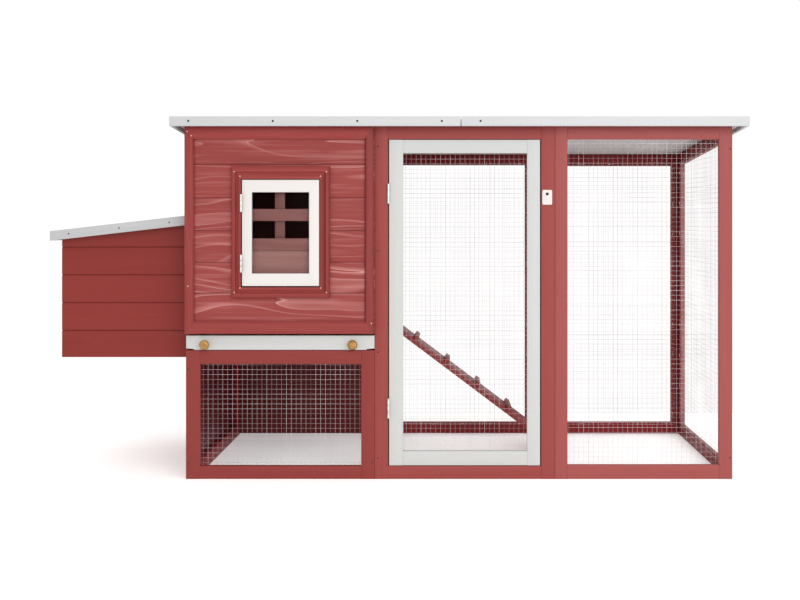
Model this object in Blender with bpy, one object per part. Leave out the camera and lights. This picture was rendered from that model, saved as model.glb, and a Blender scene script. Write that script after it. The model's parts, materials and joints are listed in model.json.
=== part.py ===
"""Wooden chicken coop: a raised house with a nest box on its left and a mesh run on its right.

Metres, +Z up, X along the coop's length, front towards -Y, origin on the ground at the middle.
Every piece is its own object. Pieces that touch keep a gap of about 0.3 mm.
"""

import math

import bmesh
import bpy
from mathutils import Matrix, Vector

for old in list(bpy.data.objects):
    bpy.data.objects.remove(old, do_unlink=True)

# Overall layout
LEFT = -0.5905  # outer face of the house's left wall
HOUSE_RIGHT = -0.0569  # seam between the house bay and the door bay
DOOR_RIGHT = 0.4524  # seam between the door bay and the right bay
RIGHT = 0.9535
FRONT = -0.320
BACK = 0.320
STOCK = 0.015  # thickness of the frame stock
STOCK_WIDTH = 0.039
# Widths of the members at the left, right, bottom and top of a frame
LOWER_WIDTHS = (0.040, 0.038, 0.0365, 0.0385)
DOOR_BAY_WIDTHS = (0.0375, STOCK_WIDTH, 0.037, STOCK_WIDTH)
RIGHT_WIDTHS = (0.0355, 0.0375, STOCK_WIDTH, STOCK_WIDTH)
BACK_MIDDLE_WIDTHS = (STOCK_WIDTH, STOCK_WIDTH, STOCK_WIDTH, 0.036)
DOOR_WIDTHS = (0.0395, 0.0365, 0.040, 0.0375)
BOARD = 0.012  # thickness of the cladding boards
GAP = 0.0003
CUT_PAST = 0.02  # how far a cutter runs out of the board it cuts
EASE = 0.001  # chamfer on the edges of the stock

# Heights
FRONT_TOP = 0.9985
BACK_TOP = 0.9570
LOWER_FRAME_TOP = 0.363
TRAY_Z = (0.3645, 0.4050)
HOUSE_BOTTOM = 0.4104
ROOF_SLOPE = 0.0663
ROOF_UNDERSIDE_AT_FRONT = 1.0
PARTITION_BOTTOM = 0.330

# Roof
ROOF_X = (-0.6275, 0.9915)
ROOF_JOINT = 0.1864
ROOF_SEAM = 0.0004  # half the gap at the joint
ROOF_Y = 0.360
ROOF_BOARD = 0.012
EDGING = 0.010
EDGING_HEIGHT = 0.0275
EDGING_FRONT_Z = 0.9935

# Cladding
HOUSE_JOINTS = (0.525, 0.612, 0.7015, 0.794, 0.888)
BOARD_PITCH = 0.0804
FIRST_JOINT = 0.0906
NEST_FIRST_JOINT = 0.4123
GROOVE_WIDTH = 0.003
GROOVE_DEPTH = 0.002

# Moulding round the house front: its outer limits, and its widths at the left, right, bottom
# and top
MOULDING_X = (LEFT - 0.0015, HOUSE_RIGHT - 0.0026)
MOULDING_WIDTHS = (0.0263, 0.0252, 0.0353, 0.0394)

# Window, measured from the house's left edge
TRIM_X = (0.1305, 0.4080)
TRIM_Z = (0.512, 0.883)
CASING_X = (0.1585, 0.3805)
CASING_Z = (0.5425, 0.8460)
CASING_FRONT = -0.3365
SASH_X = (0.1624, 0.3785)
SASH_Z = (0.546, 0.8442)
SASH_OPENING_X = (0.1900, 0.3504)
SASH_OPENING_Z = (0.581, 0.8095)
SASH_MEMBER = 0.0280
SASH_FRONT = -0.340
SASH_THICK = 0.012
REBATE = 0.004
REBATE_DEPTH = 0.007
PANE = 0.002
PANE_SIDE_GAP = 0.0006
PANE_END_GAP = 0.0002
WALL_HOLE_X = (0.181, 0.359)
WALL_HOLE_Z = (0.660, 0.830)
SLAT_X = (0.169, 0.371)
SLAT_THICK = 0.006
SLAT_Z = {"upper": (0.7287, 0.7626), "lower": (0.6461, 0.6795)}
MULLION_X = (0.2495, 0.2777)
MULLION_Z = (0.645, 0.845)

# Door
# Gaps at the left, right, bottom and top
DOOR_GAPS = (0.003, 0.003, 0.0015, 0.0015)
DOOR_PIVOT_Z = 0.5

# Hinges. Each size is the length and the width of a leaf
WINDOW_HINGE = (0.0495, 0.0143)
WINDOW_HINGE_Z = {"upper": 0.7540, "lower": 0.5845}
DOOR_HINGE = (0.0556, 0.0173)
DOOR_HINGE_Z = {"upper": 0.7780, "lower": 0.1720}
LID_HINGE = (0.060, 0.025)
KNUCKLE_R = 0.003
PIN_R = 0.0012
BORE_R = 0.0016
LEAF = 0.001
LEAF_START = 0.0034
AXIS_STANDOFF = 0.0033
LEAVES_SHUT = 0.0002  # from the pin to each leaf, where the leaves share a gap
LEAVES_FLAT = 0.0020  # and where they lie on two faces
TAB_SHUT = 0.0022
TAB_FLAT = 0.0004
HINGE_SIDES = 12

# Turn button on the stile beside the door
BUTTON_PIVOT = (0.4301, 0.805)
BUTTON_SIZE = (0.028, 0.042)
BUTTON_THICK = 0.002
BUTTON_END = 0.0116  # from the screw to the near end
BUTTON_STANDOFF = 0.0012
BUTTON_HOLE_R = 0.0026
BUTTON_EASE = 0.0004
SCREW_PROFILE = (
    (0, 0.0003),
    (0.0021, 0.0003),
    (0.0021, 0.0035),
    (0.0042, 0.0035),
    (0.0036, 0.0052),
    (0, 0.0060),
)

# Droppings tray
TRAY_SIDE_GAP = 0.0008
TRAY_NOTCH = (0.022, 0.0035)  # width and height of the steps at its lower corners
PAN_LIFT = 0.0005
PAN_X = (-0.5610, -0.0745)
PAN_HEIGHT = 0.030
PAN_WALL = 0.0015
PAN_BACK = 0.300
RUNNER = 0.020
KNOB_X = (0.0554, 0.4720)
KNOB_Z = 0.380
KNOB_PROFILE = (
    (0, 0.0),
    (0.0085, 0.0),
    (0.0070, 0.0020),
    (0.0062, 0.0070),
    (0.0105, 0.0110),
    (0.0140, 0.0150),
    (0.0132, 0.0190),
    (0.0095, 0.0213),
    (0, 0.0222),
)
ROUND_SIDES = 16

# Nest box
NEST_OUTER = -0.9667
NEST_Y = 0.250
NEST_BOTTOM = 0.335
NEST_FLOOR = 0.010
NEST_JOINTS = 4
NEST_HOLE_Y = (-0.200, 0.200)
NEST_HOLE_Z = (0.420, 0.640)
LID_X = (-0.9905, -0.5942)
LID_Y = 0.280
LID_SLOPE = 0.1145
LID_LOW_POINT = (-0.797, 0.6943)  # a point on the lid's lower edge
LID_CLEARANCE = 0.0005
LID_EDGING_HEIGHT = 0.0275
LID_SEAT = 0.010  # from the lid's lower edge up to the underside of its board
LID_BOARD = 0.011
LID_HINGE_Y = {"front": -0.150, "back": 0.150}

# Ramp
RAMP_Y = 0.080
RAMP_WIDTH = 0.140
RAMP_SLOPE = -0.7528
RAMP_Z_AT_ZERO = 0.3885
RAMP_THICK = 0.012
RAMP_CLEARANCE = 0.0005
RAMP_END = 0.508
CLEATS = 4
CLEAT_FROM_WALL = 0.102
CLEAT_PITCH = 0.0972
CLEAT = (0.014, 0.013)
POP_HOLE_Y = (-0.020, 0.180)
POP_HOLE_Z = (0.419, 0.700)

# Mesh panels
MESH_LAP = 0.012  # how far a panel runs past its frame's opening
MESH_BORDER = 0.010  # width of the solid strip round a panel
MESH_BAR = 0.0016
MESH_THICK = 0.0012
MESH_PITCH = 0.105

COLOURS = {
    "red_paint": (0.36, 0.080, 0.072, 0.6, 0.0),
    "dark_red_paint": (0.22, 0.040, 0.042, 0.65, 0.0),
    "white_paint": (0.70, 0.69, 0.68, 0.5, 0.0),
    "roof_grey": (0.42, 0.43, 0.43, 0.8, 0.0),
    "galvanised": (0.62, 0.63, 0.64, 0.4, 1.0),
    "hinge_steel": (0.66, 0.65, 0.63, 0.35, 1.0),
    "brass": (0.72, 0.50, 0.24, 0.3, 1.0),
    "clear_plastic": (0.85, 0.88, 0.88, 0.1, 0.0),
}


def paint(name):
    """The material of this name, made once."""
    material = bpy.data.materials.get(name)
    if material is None:
        material = bpy.data.materials.new(name)
        material.use_nodes = True
        red, green, blue, roughness, metallic = COLOURS[name]
        shader = material.node_tree.nodes["Principled BSDF"]
        shader.inputs["Base Color"].default_value = (red, green, blue, 1.0)
        shader.inputs["Roughness"].default_value = roughness
        shader.inputs["Metallic"].default_value = metallic
    return material


def pivot(name, location):
    """An empty on a joint's axis. The pieces that turn or slide there are its children."""
    empty = bpy.data.objects.new(name, None)
    empty.empty_display_size = 0.03
    empty.location = location
    bpy.context.collection.objects.link(empty)
    return empty


def to_object(name, bm, finish, carrier=None, local=False):
    """Turns a mesh drawn in world coordinates into an object with its origin at its middle."""
    bmesh.ops.recalc_face_normals(bm, faces=bm.faces)
    corners = [vertex.co.copy() for vertex in bm.verts]
    low = Vector([min(point[axis] for point in corners) for axis in range(3)])
    high = Vector([max(point[axis] for point in corners) for axis in range(3)])
    middle = Vector((0, 0, 0)) if local else (low + high) / 2
    bmesh.ops.translate(bm, vec=-middle, verts=bm.verts)
    mesh = bpy.data.meshes.new(name)
    bm.to_mesh(mesh)
    bm.free()
    obj = bpy.data.objects.new(name, mesh)
    bpy.context.collection.objects.link(obj)
    if finish:
        mesh.materials.append(paint(finish))
    obj.location = middle
    if carrier:
        obj.parent = carrier
        obj.location = middle - carrier.location
    return obj


def prism(near, far):
    """A solid between two matching outlines."""
    bm = bmesh.new()
    first = [bm.verts.new(point) for point in near]
    second = [bm.verts.new(point) for point in far]
    bm.faces.new(first)
    bm.faces.new(list(reversed(second)))
    count = len(first)
    for i in range(count):
        j = (i + 1) % count
        bm.faces.new((first[i], second[i], second[j], first[j]))
    return bm


def band(loops):
    """A closed band through these loops, with the last joined to the first."""
    bm = bmesh.new()
    rows = [[bm.verts.new(point) for point in loop] for loop in loops]
    count = len(rows[0])
    for k, row in enumerate(rows):
        following = rows[(k + 1) % len(rows)]
        for i in range(count):
            j = (i + 1) % count
            bm.faces.new((row[i], row[j], following[j], following[i]))
    return bm


def box(name, x, y, z, finish, carrier=None, ease=EASE):
    """A board or block between these limits, with eased edges."""
    bm = bmesh.new()
    bmesh.ops.create_cube(bm, size=1.0)
    size = (x[1] - x[0], y[1] - y[0], z[1] - z[0])
    bmesh.ops.scale(bm, vec=size, verts=bm.verts)
    centre = ((x[0] + x[1]) / 2, (y[0] + y[1]) / 2, (z[0] + z[1]) / 2)
    bmesh.ops.translate(bm, vec=centre, verts=bm.verts)
    obj = to_object(name, bm, finish, carrier)
    if ease:
        ease_edges(obj, ease)
    return obj


def ease_edges(obj, width):
    bevel = obj.modifiers.new("ease", "BEVEL")
    bevel.width = width
    bevel.segments = 1


def cut(obj, tool):
    """Takes the tool's volume out of the object."""
    tool.hide_render = True
    tool.display_type = "WIRE"
    boolean = obj.modifiers.new("cut " + tool.name, "BOOLEAN")
    boolean.operation = "DIFFERENCE"
    boolean.solver = "EXACT"
    boolean.object = tool


def add(obj, tool):
    """Joins the tool's volume to the object."""
    tool.hide_render = True
    tool.display_type = "WIRE"
    boolean = obj.modifiers.new("add " + tool.name, "BOOLEAN")
    boolean.operation = "UNION"
    boolean.solver = "EXACT"
    boolean.object = tool


def shade_smooth(obj, angle=40):
    """Smooth shading, with edges sharper than the angle kept crisp."""
    obj.data.shade_smooth()
    obj.data.set_sharp_from_angle(angle=math.radians(angle))


def facing_front(u, v, depth):
    return (u, depth, v)


def facing_side(u, v, depth):
    return (depth, u, v)


def rectangle(u, v):
    return [(u[0], v[0]), (u[1], v[0]), (u[1], v[1]), (u[0], v[1])]


def framed(name, outer, inner, profile, facing, finish, carrier=None):
    """A four-sided frame. The profile lists how far in from the outer edge, and at what depth."""
    loops = []
    for inward, depth in profile:
        loop = []
        for start, end in zip(outer, inner):
            u = start[0] + (end[0] - start[0]) * inward
            v = start[1] + (end[1] - start[1]) * inward
            loop.append(facing(u, v, depth))
        loops.append(loop)
    return to_object(name, band(loops), finish, carrier)


def eased(front, back):
    """The section of a plain frame member, with the edges of its front face eased."""
    step = EASE if back > front else -EASE
    narrow = EASE / STOCK_WIDTH
    return [
        (narrow, front),
        (1 - narrow, front),
        (1, front + step),
        (1, back),
        (0, back),
        (0, front + step),
    ]


def grown(limits, margin):
    return (limits[0] - margin, limits[1] + margin)


def inset(u, v, left, right, low, high):
    return (u[0] + left, u[1] - right), (v[0] + low, v[1] - high)


def joints_between(first, pitch, low, high):
    """The heights of the joints between boards, clear of both edges."""
    heights = []
    height = first
    while height < high - GROOVE_WIDTH:
        if height > low + GROOVE_WIDTH:
            heights.append(height)
        height += pitch
    return heights


def clad_outline(face, inward, thick, low, high, joints):
    """Pairs of depth and height round a boarded wall: V-grooves outside, flat inside."""
    outline = [(face, low)]
    for height in joints:
        outline.append((face, height - GROOVE_WIDTH / 2))
        outline.append((face + inward * GROOVE_DEPTH, height))
        outline.append((face, height + GROOVE_WIDTH / 2))
    outline.append((face, high))
    outline.append((face + inward * thick, high))
    outline.append((face + inward * thick, low))
    return outline


def clad_along_x(name, x, face, inward, thick, low, tops, joints, finish):
    """A boarded wall that runs along X. tops are the heights of its two ends."""
    ends = []
    for position, top in zip(x, tops):
        outline = clad_outline(face, inward, thick, low, top, joints)
        ends.append([(position, depth, height) for depth, height in outline])
    return to_object(name, prism(*ends), finish)


def clad_along_y(name, y, face, inward, thick, low, tops, joints, finish):
    """A boarded wall that runs along Y."""
    ends = []
    for position, top in zip(y, tops):
        outline = clad_outline(face, inward, thick, low, top, joints)
        ends.append([(depth, position, height) for depth, height in outline])
    return to_object(name, prism(*ends), finish)


def roof_underside(y):
    return ROOF_UNDERSIDE_AT_FRONT - ROOF_SLOPE * (y - FRONT)


def edging_base(y):
    return EDGING_FRONT_Z - ROOF_SLOPE * (y + ROOF_Y)


def lid_base(x):
    """The height of the lid's lower edge."""
    return LID_LOW_POINT[1] + LID_SLOPE * (x - LID_LOW_POINT[0])


def ramp_top(x):
    return RAMP_Z_AT_ZERO + RAMP_SLOPE * x


def spans(start, end):
    """The lines of a grille in one direction: border, opening, bar, opening and so on."""
    clear = end - start - 2 * MESH_BORDER
    count = max(2, round(clear / MESH_PITCH))
    lines = [start, start + MESH_BORDER]
    for k in range(1, count):
        centre = start + MESH_BORDER + k * clear / count
        lines.append(centre - MESH_BAR / 2)
        lines.append(centre + MESH_BAR / 2)
    lines.append(end - MESH_BORDER)
    lines.append(end)
    return lines


def grille(name, u, v, depth, facing, finish, carrier=None, top=None):
    """A flat grille of square openings. top gives the height of its upper edge along u."""
    across = spans(u[0], u[1])
    upward = spans(v[0], v[1])
    bm = bmesh.new()
    layers = []
    for face in depth:
        layer = {}
        for i, position in enumerate(across):
            for j, height in enumerate(upward):
                if top and j >= len(upward) - 2:
                    height = top(position)
                if top and j == len(upward) - 2:
                    height -= MESH_BORDER
                layer[i, j] = bm.verts.new(facing(position, height, face))
        layers.append(layer)
    near, far = layers
    columns = len(across) - 1
    rows = len(upward) - 1

    def solid(i, j):
        inside = 0 <= i < columns and 0 <= j < rows
        return inside and not (i % 2 and j % 2)

    for i in range(columns):
        for j in range(rows):
            if not solid(i, j):
                continue
            ring = [(i, j), (i + 1, j), (i + 1, j + 1), (i, j + 1)]
            beside = [(i, j - 1), (i + 1, j), (i, j + 1), (i - 1, j)]
            bm.faces.new([near[key] for key in ring])
            bm.faces.new([far[key] for key in reversed(ring)])
            for k in range(4):
                if not solid(*beside[k]):
                    a = ring[k]
                    b = ring[(k + 1) % 4]
                    bm.faces.new((near[b], near[a], far[a], far[b]))
    return to_object(name, bm, finish, carrier)


def lathe(profile, sides=ROUND_SIDES):
    """A solid of revolution about Z. The profile is pairs of radius and height."""
    bm = bmesh.new()
    closed = profile[0][0] > 0
    rings = []
    for radius, height in profile:
        if radius == 0:
            rings.append([bm.verts.new((0, 0, height))])
            continue
        ring = []
        for k in range(sides):
            turn = 2 * math.pi * k / sides
            point = (radius * math.cos(turn), radius * math.sin(turn), height)
            ring.append(bm.verts.new(point))
        rings.append(ring)
    pairs = list(zip(rings, rings[1:]))
    if closed:
        pairs.append((rings[-1], rings[0]))
    for low, high in pairs:
        for k in range(sides):
            j = (k + 1) % sides
            corners = [low[k % len(low)], low[j % len(low)]]
            corners += [high[j % len(high)], high[k % len(high)]]
            unique = list(dict.fromkeys(corners))
            bm.faces.new(unique)
    return bm


def oriented(point, axis, leaf):
    """The placing of a hinge half: local Z along its pin, local Y out along its leaf."""
    up = Vector(axis).normalized()
    out = Vector(leaf).normalized()
    side = out.cross(up)
    turn = Matrix((side, out, up)).transposed().to_4x4()
    return Matrix.Translation(Vector(point)) @ turn


def knuckle_spans(length, moving):
    if moving:
        return [(0.34 * length, 0.66 * length)]
    return [(0, 0.32 * length), (0.68 * length, length)]


def leaf_outline(length, width, tab, knuckles):
    """The outline of a leaf, with a tab into each of its knuckles, as pairs of out and along."""
    outline = [(width, 0), (width, length)]
    for low, high in reversed(knuckles):
        outline.append((LEAF_START, high))
        outline.append((tab, high))
        outline.append((tab, low))
        outline.append((LEAF_START, low))
    if knuckles[0][0] > 0:
        outline.insert(2, (LEAF_START, length))
        outline.append((LEAF_START, 0))
    return [point for point, before in zip(outline, [None, *outline]) if point != before]


def barrel_profile(length, moving):
    """The knuckles of a hinge half. The fixed half carries the pin, the moving half is bored."""
    knuckles = knuckle_spans(length, moving)
    if moving:
        low, high = knuckles[0]
        return [(BORE_R, low), (KNUCKLE_R, low), (KNUCKLE_R, high), (BORE_R, high)]
    (low, low_end), (high_start, high) = knuckles
    return [
        (0, low),
        (KNUCKLE_R, low),
        (KNUCKLE_R, low_end),
        (PIN_R, low_end),
        (PIN_R, high_start),
        (KNUCKLE_R, high_start),
        (KNUCKLE_R, high),
        (0, high),
    ]


def hinge_half(name, placing, size, offset, tab, moving, carrier=None):
    """One half of a butt hinge. The offset is from its pin to the leaf's two faces."""
    length, width = size
    outline = leaf_outline(length, width, tab, knuckle_spans(length, moving))
    near = [(offset[0], out, along) for out, along in outline]
    far = [(offset[1], out, along) for out, along in outline]
    leaf = to_object(name, prism(near, far), "hinge_steel", local=True)
    profile = barrel_profile(length, moving)
    barrel = to_object(name + "_barrel", lathe(profile, HINGE_SIDES), None, local=True)
    for obj in (leaf, barrel):
        if carrier:
            obj.parent = carrier
            obj.matrix_local = Matrix.Translation(-carrier.location) @ placing
        else:
            obj.matrix_world = placing
    add(leaf, barrel)
    shade_smooth(leaf)


def gap_hinge(kind, place, foot, size, carrier):
    """A hinge whose two leaves lie face to face in the gap beside a door or a window."""
    placing = oriented(foot, (0, 0, 1), (0, 1, 0))
    near = LEAVES_SHUT
    far = LEAVES_SHUT + LEAF
    fixed = f"{kind}_hinge_fixed_{place}"
    hinge_half(fixed, placing, size, (-far, -near), TAB_SHUT, False)
    hinge_half(f"{kind}_hinge_leaf_{place}", placing, size, (near, far), TAB_SHUT, True, carrier)


# Joint axes
door_left = HOUSE_RIGHT + DOOR_BAY_WIDTHS[0] + DOOR_GAPS[0]
door_axis_x = door_left - DOOR_GAPS[0] / 2
door_axis_y = FRONT - AXIS_STANDOFF
door_pivot = pivot("door_axis", (door_axis_x, door_axis_y, DOOR_PIVOT_Z))
sash_axis_x = LEFT + (CASING_X[0] + SASH_X[0]) / 2
sash_axis_y = SASH_FRONT - AXIS_STANDOFF
sash_pivot = pivot("window_axis", (sash_axis_x, sash_axis_y, sum(SASH_Z) / 2))
button_pivot = pivot("button_axis", (BUTTON_PIVOT[0], FRONT, BUTTON_PIVOT[1]))
tray_pivot = pivot("tray_slide", ((LEFT + HOUSE_RIGHT) / 2, FRONT, KNOB_Z))
lid_axis_x = LEFT - GAP - KNUCKLE_R
lid_angle = math.atan(LID_SLOPE)
lid_top_at_axis = lid_base(lid_axis_x) + LID_SEAT + LID_BOARD
lid_axis_z = lid_top_at_axis + AXIS_STANDOFF / math.cos(lid_angle)
lid_pivot = pivot("lid_axis", (lid_axis_x, 0, lid_axis_z))

# House front: boarded panel, moulding round it, and the window with its casing
house_right = HOUSE_RIGHT - GAP
panel = clad_along_x(
    "house_front_panel",
    (LEFT, house_right),
    FRONT,
    1,
    BOARD,
    HOUSE_BOTTOM,
    (FRONT_TOP, FRONT_TOP),
    HOUSE_JOINTS,
    "red_paint",
)
hole = box(
    "cut_window",
    (LEFT + WALL_HOLE_X[0], LEFT + WALL_HOLE_X[1]),
    (FRONT - CUT_PAST, FRONT + BOARD + CUT_PAST),
    WALL_HOLE_Z,
    None,
    ease=0,
)
cut(panel, hole)

moulding_front = FRONT - BOARD
outer = rectangle(MOULDING_X, (HOUSE_BOTTOM, FRONT_TOP))
inner_x, inner_z = inset(MOULDING_X, (HOUSE_BOTTOM, FRONT_TOP), *MOULDING_WIDTHS)
moulding_profile = [
    (0.05, moulding_front),
    (0.62, moulding_front),
    (0.72, moulding_front + 0.003),
    (0.90, moulding_front + 0.003),
    (1.0, moulding_front + 0.006),
    (1.0, FRONT - GAP),
    (0.0, FRONT - GAP),
    (0.0, moulding_front + EASE),
]
framed(
    "house_front_moulding",
    outer,
    rectangle(inner_x, inner_z),
    moulding_profile,
    facing_front,
    "red_paint",
)

casing_profile = [
    (0.12, CASING_FRONT + 0.003),
    (0.30, CASING_FRONT),
    (0.44, CASING_FRONT),
    (0.52, CASING_FRONT + 0.0035),
    (0.70, CASING_FRONT + 0.0035),
    (0.78, CASING_FRONT),
    (1.0, CASING_FRONT),
    (1.0, FRONT - GAP),
    (0.0, FRONT - GAP),
    (0.0, CASING_FRONT + 0.006),
]
framed(
    "window_casing",
    rectangle((LEFT + TRIM_X[0], LEFT + TRIM_X[1]), TRIM_Z),
    rectangle((LEFT + CASING_X[0], LEFT + CASING_X[1]), CASING_Z),
    casing_profile,
    facing_front,
    "red_paint",
)

sash_x = (LEFT + SASH_X[0], LEFT + SASH_X[1])
sash_open_x = (LEFT + SASH_OPENING_X[0], LEFT + SASH_OPENING_X[1])
sash_back = SASH_FRONT + SASH_THICK
rebate_y = SASH_FRONT + REBATE_DEPTH
rebate_inward = 1.0 - REBATE / SASH_MEMBER
sash_profile = [
    (0.035, SASH_FRONT),
    (0.965, SASH_FRONT),
    (1.0, SASH_FRONT + EASE),
    (1.0, rebate_y),
    (rebate_inward, rebate_y),
    (rebate_inward, sash_back),
    (0.0, sash_back),
    (0.0, SASH_FRONT + EASE),
]
framed(
    "window_sash",
    rectangle(sash_x, SASH_Z),
    rectangle(sash_open_x, SASH_OPENING_Z),
    sash_profile,
    facing_front,
    "white_paint",
    sash_pivot,
)
box(
    "window_pane",
    grown(sash_open_x, REBATE - PANE_SIDE_GAP),
    (rebate_y + GAP, rebate_y + GAP + PANE),
    grown(SASH_OPENING_Z, REBATE - PANE_END_GAP),
    "clear_plastic",
    sash_pivot,
    ease=0,
)
for level, heights in SLAT_Z.items():
    box(
        "window_slat_" + level,
        (LEFT + SLAT_X[0], LEFT + SLAT_X[1]),
        (FRONT - GAP - SLAT_THICK, FRONT - GAP),
        heights,
        "red_paint",
    )
box(
    "window_mullion",
    (LEFT + MULLION_X[0], LEFT + MULLION_X[1]),
    (FRONT + BOARD + GAP, FRONT + BOARD + GAP + SLAT_THICK),
    MULLION_Z,
    "red_paint",
)

# Window hinges, in the gap at the sash's left edge
for place, low in WINDOW_HINGE_Z.items():
    gap_hinge("window", place, (sash_axis_x, sash_axis_y, low), WINDOW_HINGE, sash_pivot)

# Droppings tray: front board, pan, knobs and the runners that carry it
front_x = (LEFT + TRAY_SIDE_GAP, HOUSE_RIGHT - TRAY_SIDE_GAP)
step_x = grown(front_x, -TRAY_NOTCH[0])
step_z = TRAY_Z[0] + TRAY_NOTCH[1]
front_outline = [
    (step_x[0], TRAY_Z[0]),
    (step_x[1], TRAY_Z[0]),
    (step_x[1], step_z),
    (front_x[1], step_z),
    (front_x[1], TRAY_Z[1]),
    (front_x[0], TRAY_Z[1]),
    (front_x[0], step_z),
    (step_x[0], step_z),
]
near = [(x, FRONT, z) for x, z in front_outline]
far = [(x, FRONT + BOARD, z) for x, z in front_outline]
tray_front = to_object("tray_front", prism(near, far), "white_paint", tray_pivot)
ease_edges(tray_front, EASE)
pan_low = TRAY_Z[0] + PAN_LIFT
pan_y = (FRONT + BOARD + GAP, PAN_BACK)
pan_outer = rectangle(PAN_X, pan_y)
inner_pan = inset(PAN_X, pan_y, PAN_WALL, PAN_WALL, PAN_WALL, PAN_WALL)
pan_inner = rectangle(*inner_pan)
pan = bmesh.new()
shell = []
for outline, height in (
    (pan_outer, pan_low),
    (pan_outer, pan_low + PAN_HEIGHT),
    (pan_inner, pan_low + PAN_HEIGHT),
    (pan_inner, pan_low + PAN_WALL),
):
    shell.append([pan.verts.new((u, v, height)) for u, v in outline])
for lower, upper in zip(shell, shell[1:]):
    for i in range(4):
        j = (i + 1) % 4
        pan.faces.new((lower[i], lower[j], upper[j], upper[i]))
pan.faces.new(list(reversed(shell[0])))
pan.faces.new(shell[-1])
to_object("tray_pan", pan, "galvanised", tray_pivot)

runner_z = (TRAY_Z[0] - RUNNER, TRAY_Z[0])
runner_y = (FRONT + STOCK + GAP, BACK - STOCK - GAP)
left_frame_face = LEFT + BOARD + GAP + STOCK
partition_left = HOUSE_RIGHT - STOCK
box(
    "tray_runner_left",
    (left_frame_face + GAP, left_frame_face + GAP + RUNNER),
    runner_y,
    runner_z,
    "dark_red_paint",
)
box(
    "tray_runner_right",
    (partition_left - GAP - RUNNER, partition_left - GAP),
    runner_y,
    runner_z,
    "dark_red_paint",
)

for side, knob_x in zip(("left", "right"), KNOB_X):
    knob = to_object("tray_knob_" + side, lathe(KNOB_PROFILE), "brass", local=True)
    knob.parent = tray_pivot
    knob.rotation_euler = (math.pi / 2, 0, 0)
    place = Vector((LEFT + knob_x, FRONT - GAP, KNOB_Z))
    knob.location = place - tray_pivot.location
    shade_smooth(knob)

# House walls
back_joints = joints_between(FIRST_JOINT, BOARD_PITCH, 0, BACK_TOP)
clad_along_x(
    "back_wall",
    (LEFT, house_right),
    BACK,
    -1,
    STOCK,
    0,
    (BACK_TOP, BACK_TOP),
    back_joints,
    "red_paint",
)
wall_y = (FRONT + STOCK + GAP, BACK - STOCK - GAP)
wall_tops = [roof_underside(y) - 2 * GAP for y in wall_y]
left_wall = clad_along_y(
    "left_wall", wall_y, LEFT, 1, BOARD, 0, wall_tops, back_joints, "red_paint"
)
nest_hole = box(
    "cut_nest_hole",
    (LEFT - CUT_PAST, LEFT + BOARD + CUT_PAST),
    NEST_HOLE_Y,
    NEST_HOLE_Z,
    None,
    ease=0,
)
cut(left_wall, nest_hole)


def sloped(y, inward):
    """The outline of a side frame, or of its opening, this far in from its outer edge."""
    start = y[0] + inward
    end = y[1] - inward
    return [
        (start, inward),
        (end, inward),
        (end, roof_underside(end) - 2 * GAP - inward),
        (start, roof_underside(start) - 2 * GAP - inward),
    ]


framed(
    "left_wall_frame",
    sloped(wall_y, 0),
    sloped(wall_y, STOCK_WIDTH),
    eased(left_frame_face, LEFT + BOARD + GAP),
    facing_side,
    "dark_red_paint",
)
partition_joints = joints_between(FIRST_JOINT, BOARD_PITCH, PARTITION_BOTTOM, BACK_TOP)
partition = clad_along_y(
    "partition_wall",
    wall_y,
    HOUSE_RIGHT,
    -1,
    STOCK,
    PARTITION_BOTTOM,
    wall_tops,
    partition_joints,
    "dark_red_paint",
)
pop_hole = box(
    "cut_pop_hole",
    (HOUSE_RIGHT - STOCK - CUT_PAST, HOUSE_RIGHT + CUT_PAST),
    POP_HOLE_Y,
    POP_HOLE_Z,
    None,
    ease=0,
)
cut(partition, pop_hole)

# Flat frames with their mesh on the inside
lower_x = (LEFT, house_right)
lower_z = (0, LOWER_FRAME_TOP)
door_bay_x = (HOUSE_RIGHT, DOOR_RIGHT - GAP)
right_bay_x = (DOOR_RIGHT, RIGHT)
front_z = (0, FRONT_TOP)
back_z = (0, BACK_TOP)
front_face = eased(FRONT, FRONT + STOCK)
back_face = eased(BACK, BACK - STOCK)
front_mesh_y = (FRONT + STOCK + GAP, FRONT + STOCK + GAP + MESH_THICK)
back_mesh_y = (BACK - STOCK - GAP - MESH_THICK, BACK - STOCK - GAP)


def flat_frame(name, x, z, widths, profile, finish, carrier=None):
    """A frame that faces front or back, and the limits of its opening."""
    open_x, open_z = inset(x, z, *widths)
    outer_edge = rectangle(x, z)
    framed(name, outer_edge, rectangle(open_x, open_z), profile, facing_front, finish, carrier)
    return open_x, open_z


def fill(name, opening, depth, carrier=None):
    """A mesh panel over a frame's opening."""
    across, upward = (grown(limits, MESH_LAP) for limits in opening)
    grille(name, across, upward, depth, facing_front, "galvanised", carrier)


opening = flat_frame(
    "lower_front_frame", lower_x, lower_z, LOWER_WIDTHS, front_face, "red_paint"
)
fill("lower_front_mesh", opening, front_mesh_y)

flat_frame(
    "door_bay_frame", door_bay_x, front_z, DOOR_BAY_WIDTHS, front_face, "red_paint"
)
opening = flat_frame(
    "right_front_frame", right_bay_x, front_z, RIGHT_WIDTHS, front_face, "red_paint"
)
fill("right_front_mesh", opening, front_mesh_y)
opening = flat_frame(
    "back_middle_frame",
    door_bay_x,
    back_z,
    BACK_MIDDLE_WIDTHS,
    back_face,
    "dark_red_paint",
)
fill("back_middle_mesh", opening, back_mesh_y)
opening = flat_frame(
    "back_right_frame", right_bay_x, back_z, (STOCK_WIDTH,) * 4, back_face, "dark_red_paint"
)
fill("back_right_mesh", opening, back_mesh_y)

framed(
    "right_side_frame",
    sloped(wall_y, 0),
    sloped(wall_y, STOCK_WIDTH),
    eased(RIGHT, RIGHT - STOCK),
    facing_side,
    "dark_red_paint",
)


def side_mesh_top(y):
    return roof_underside(y) - 2 * GAP - STOCK_WIDTH + MESH_LAP


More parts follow.
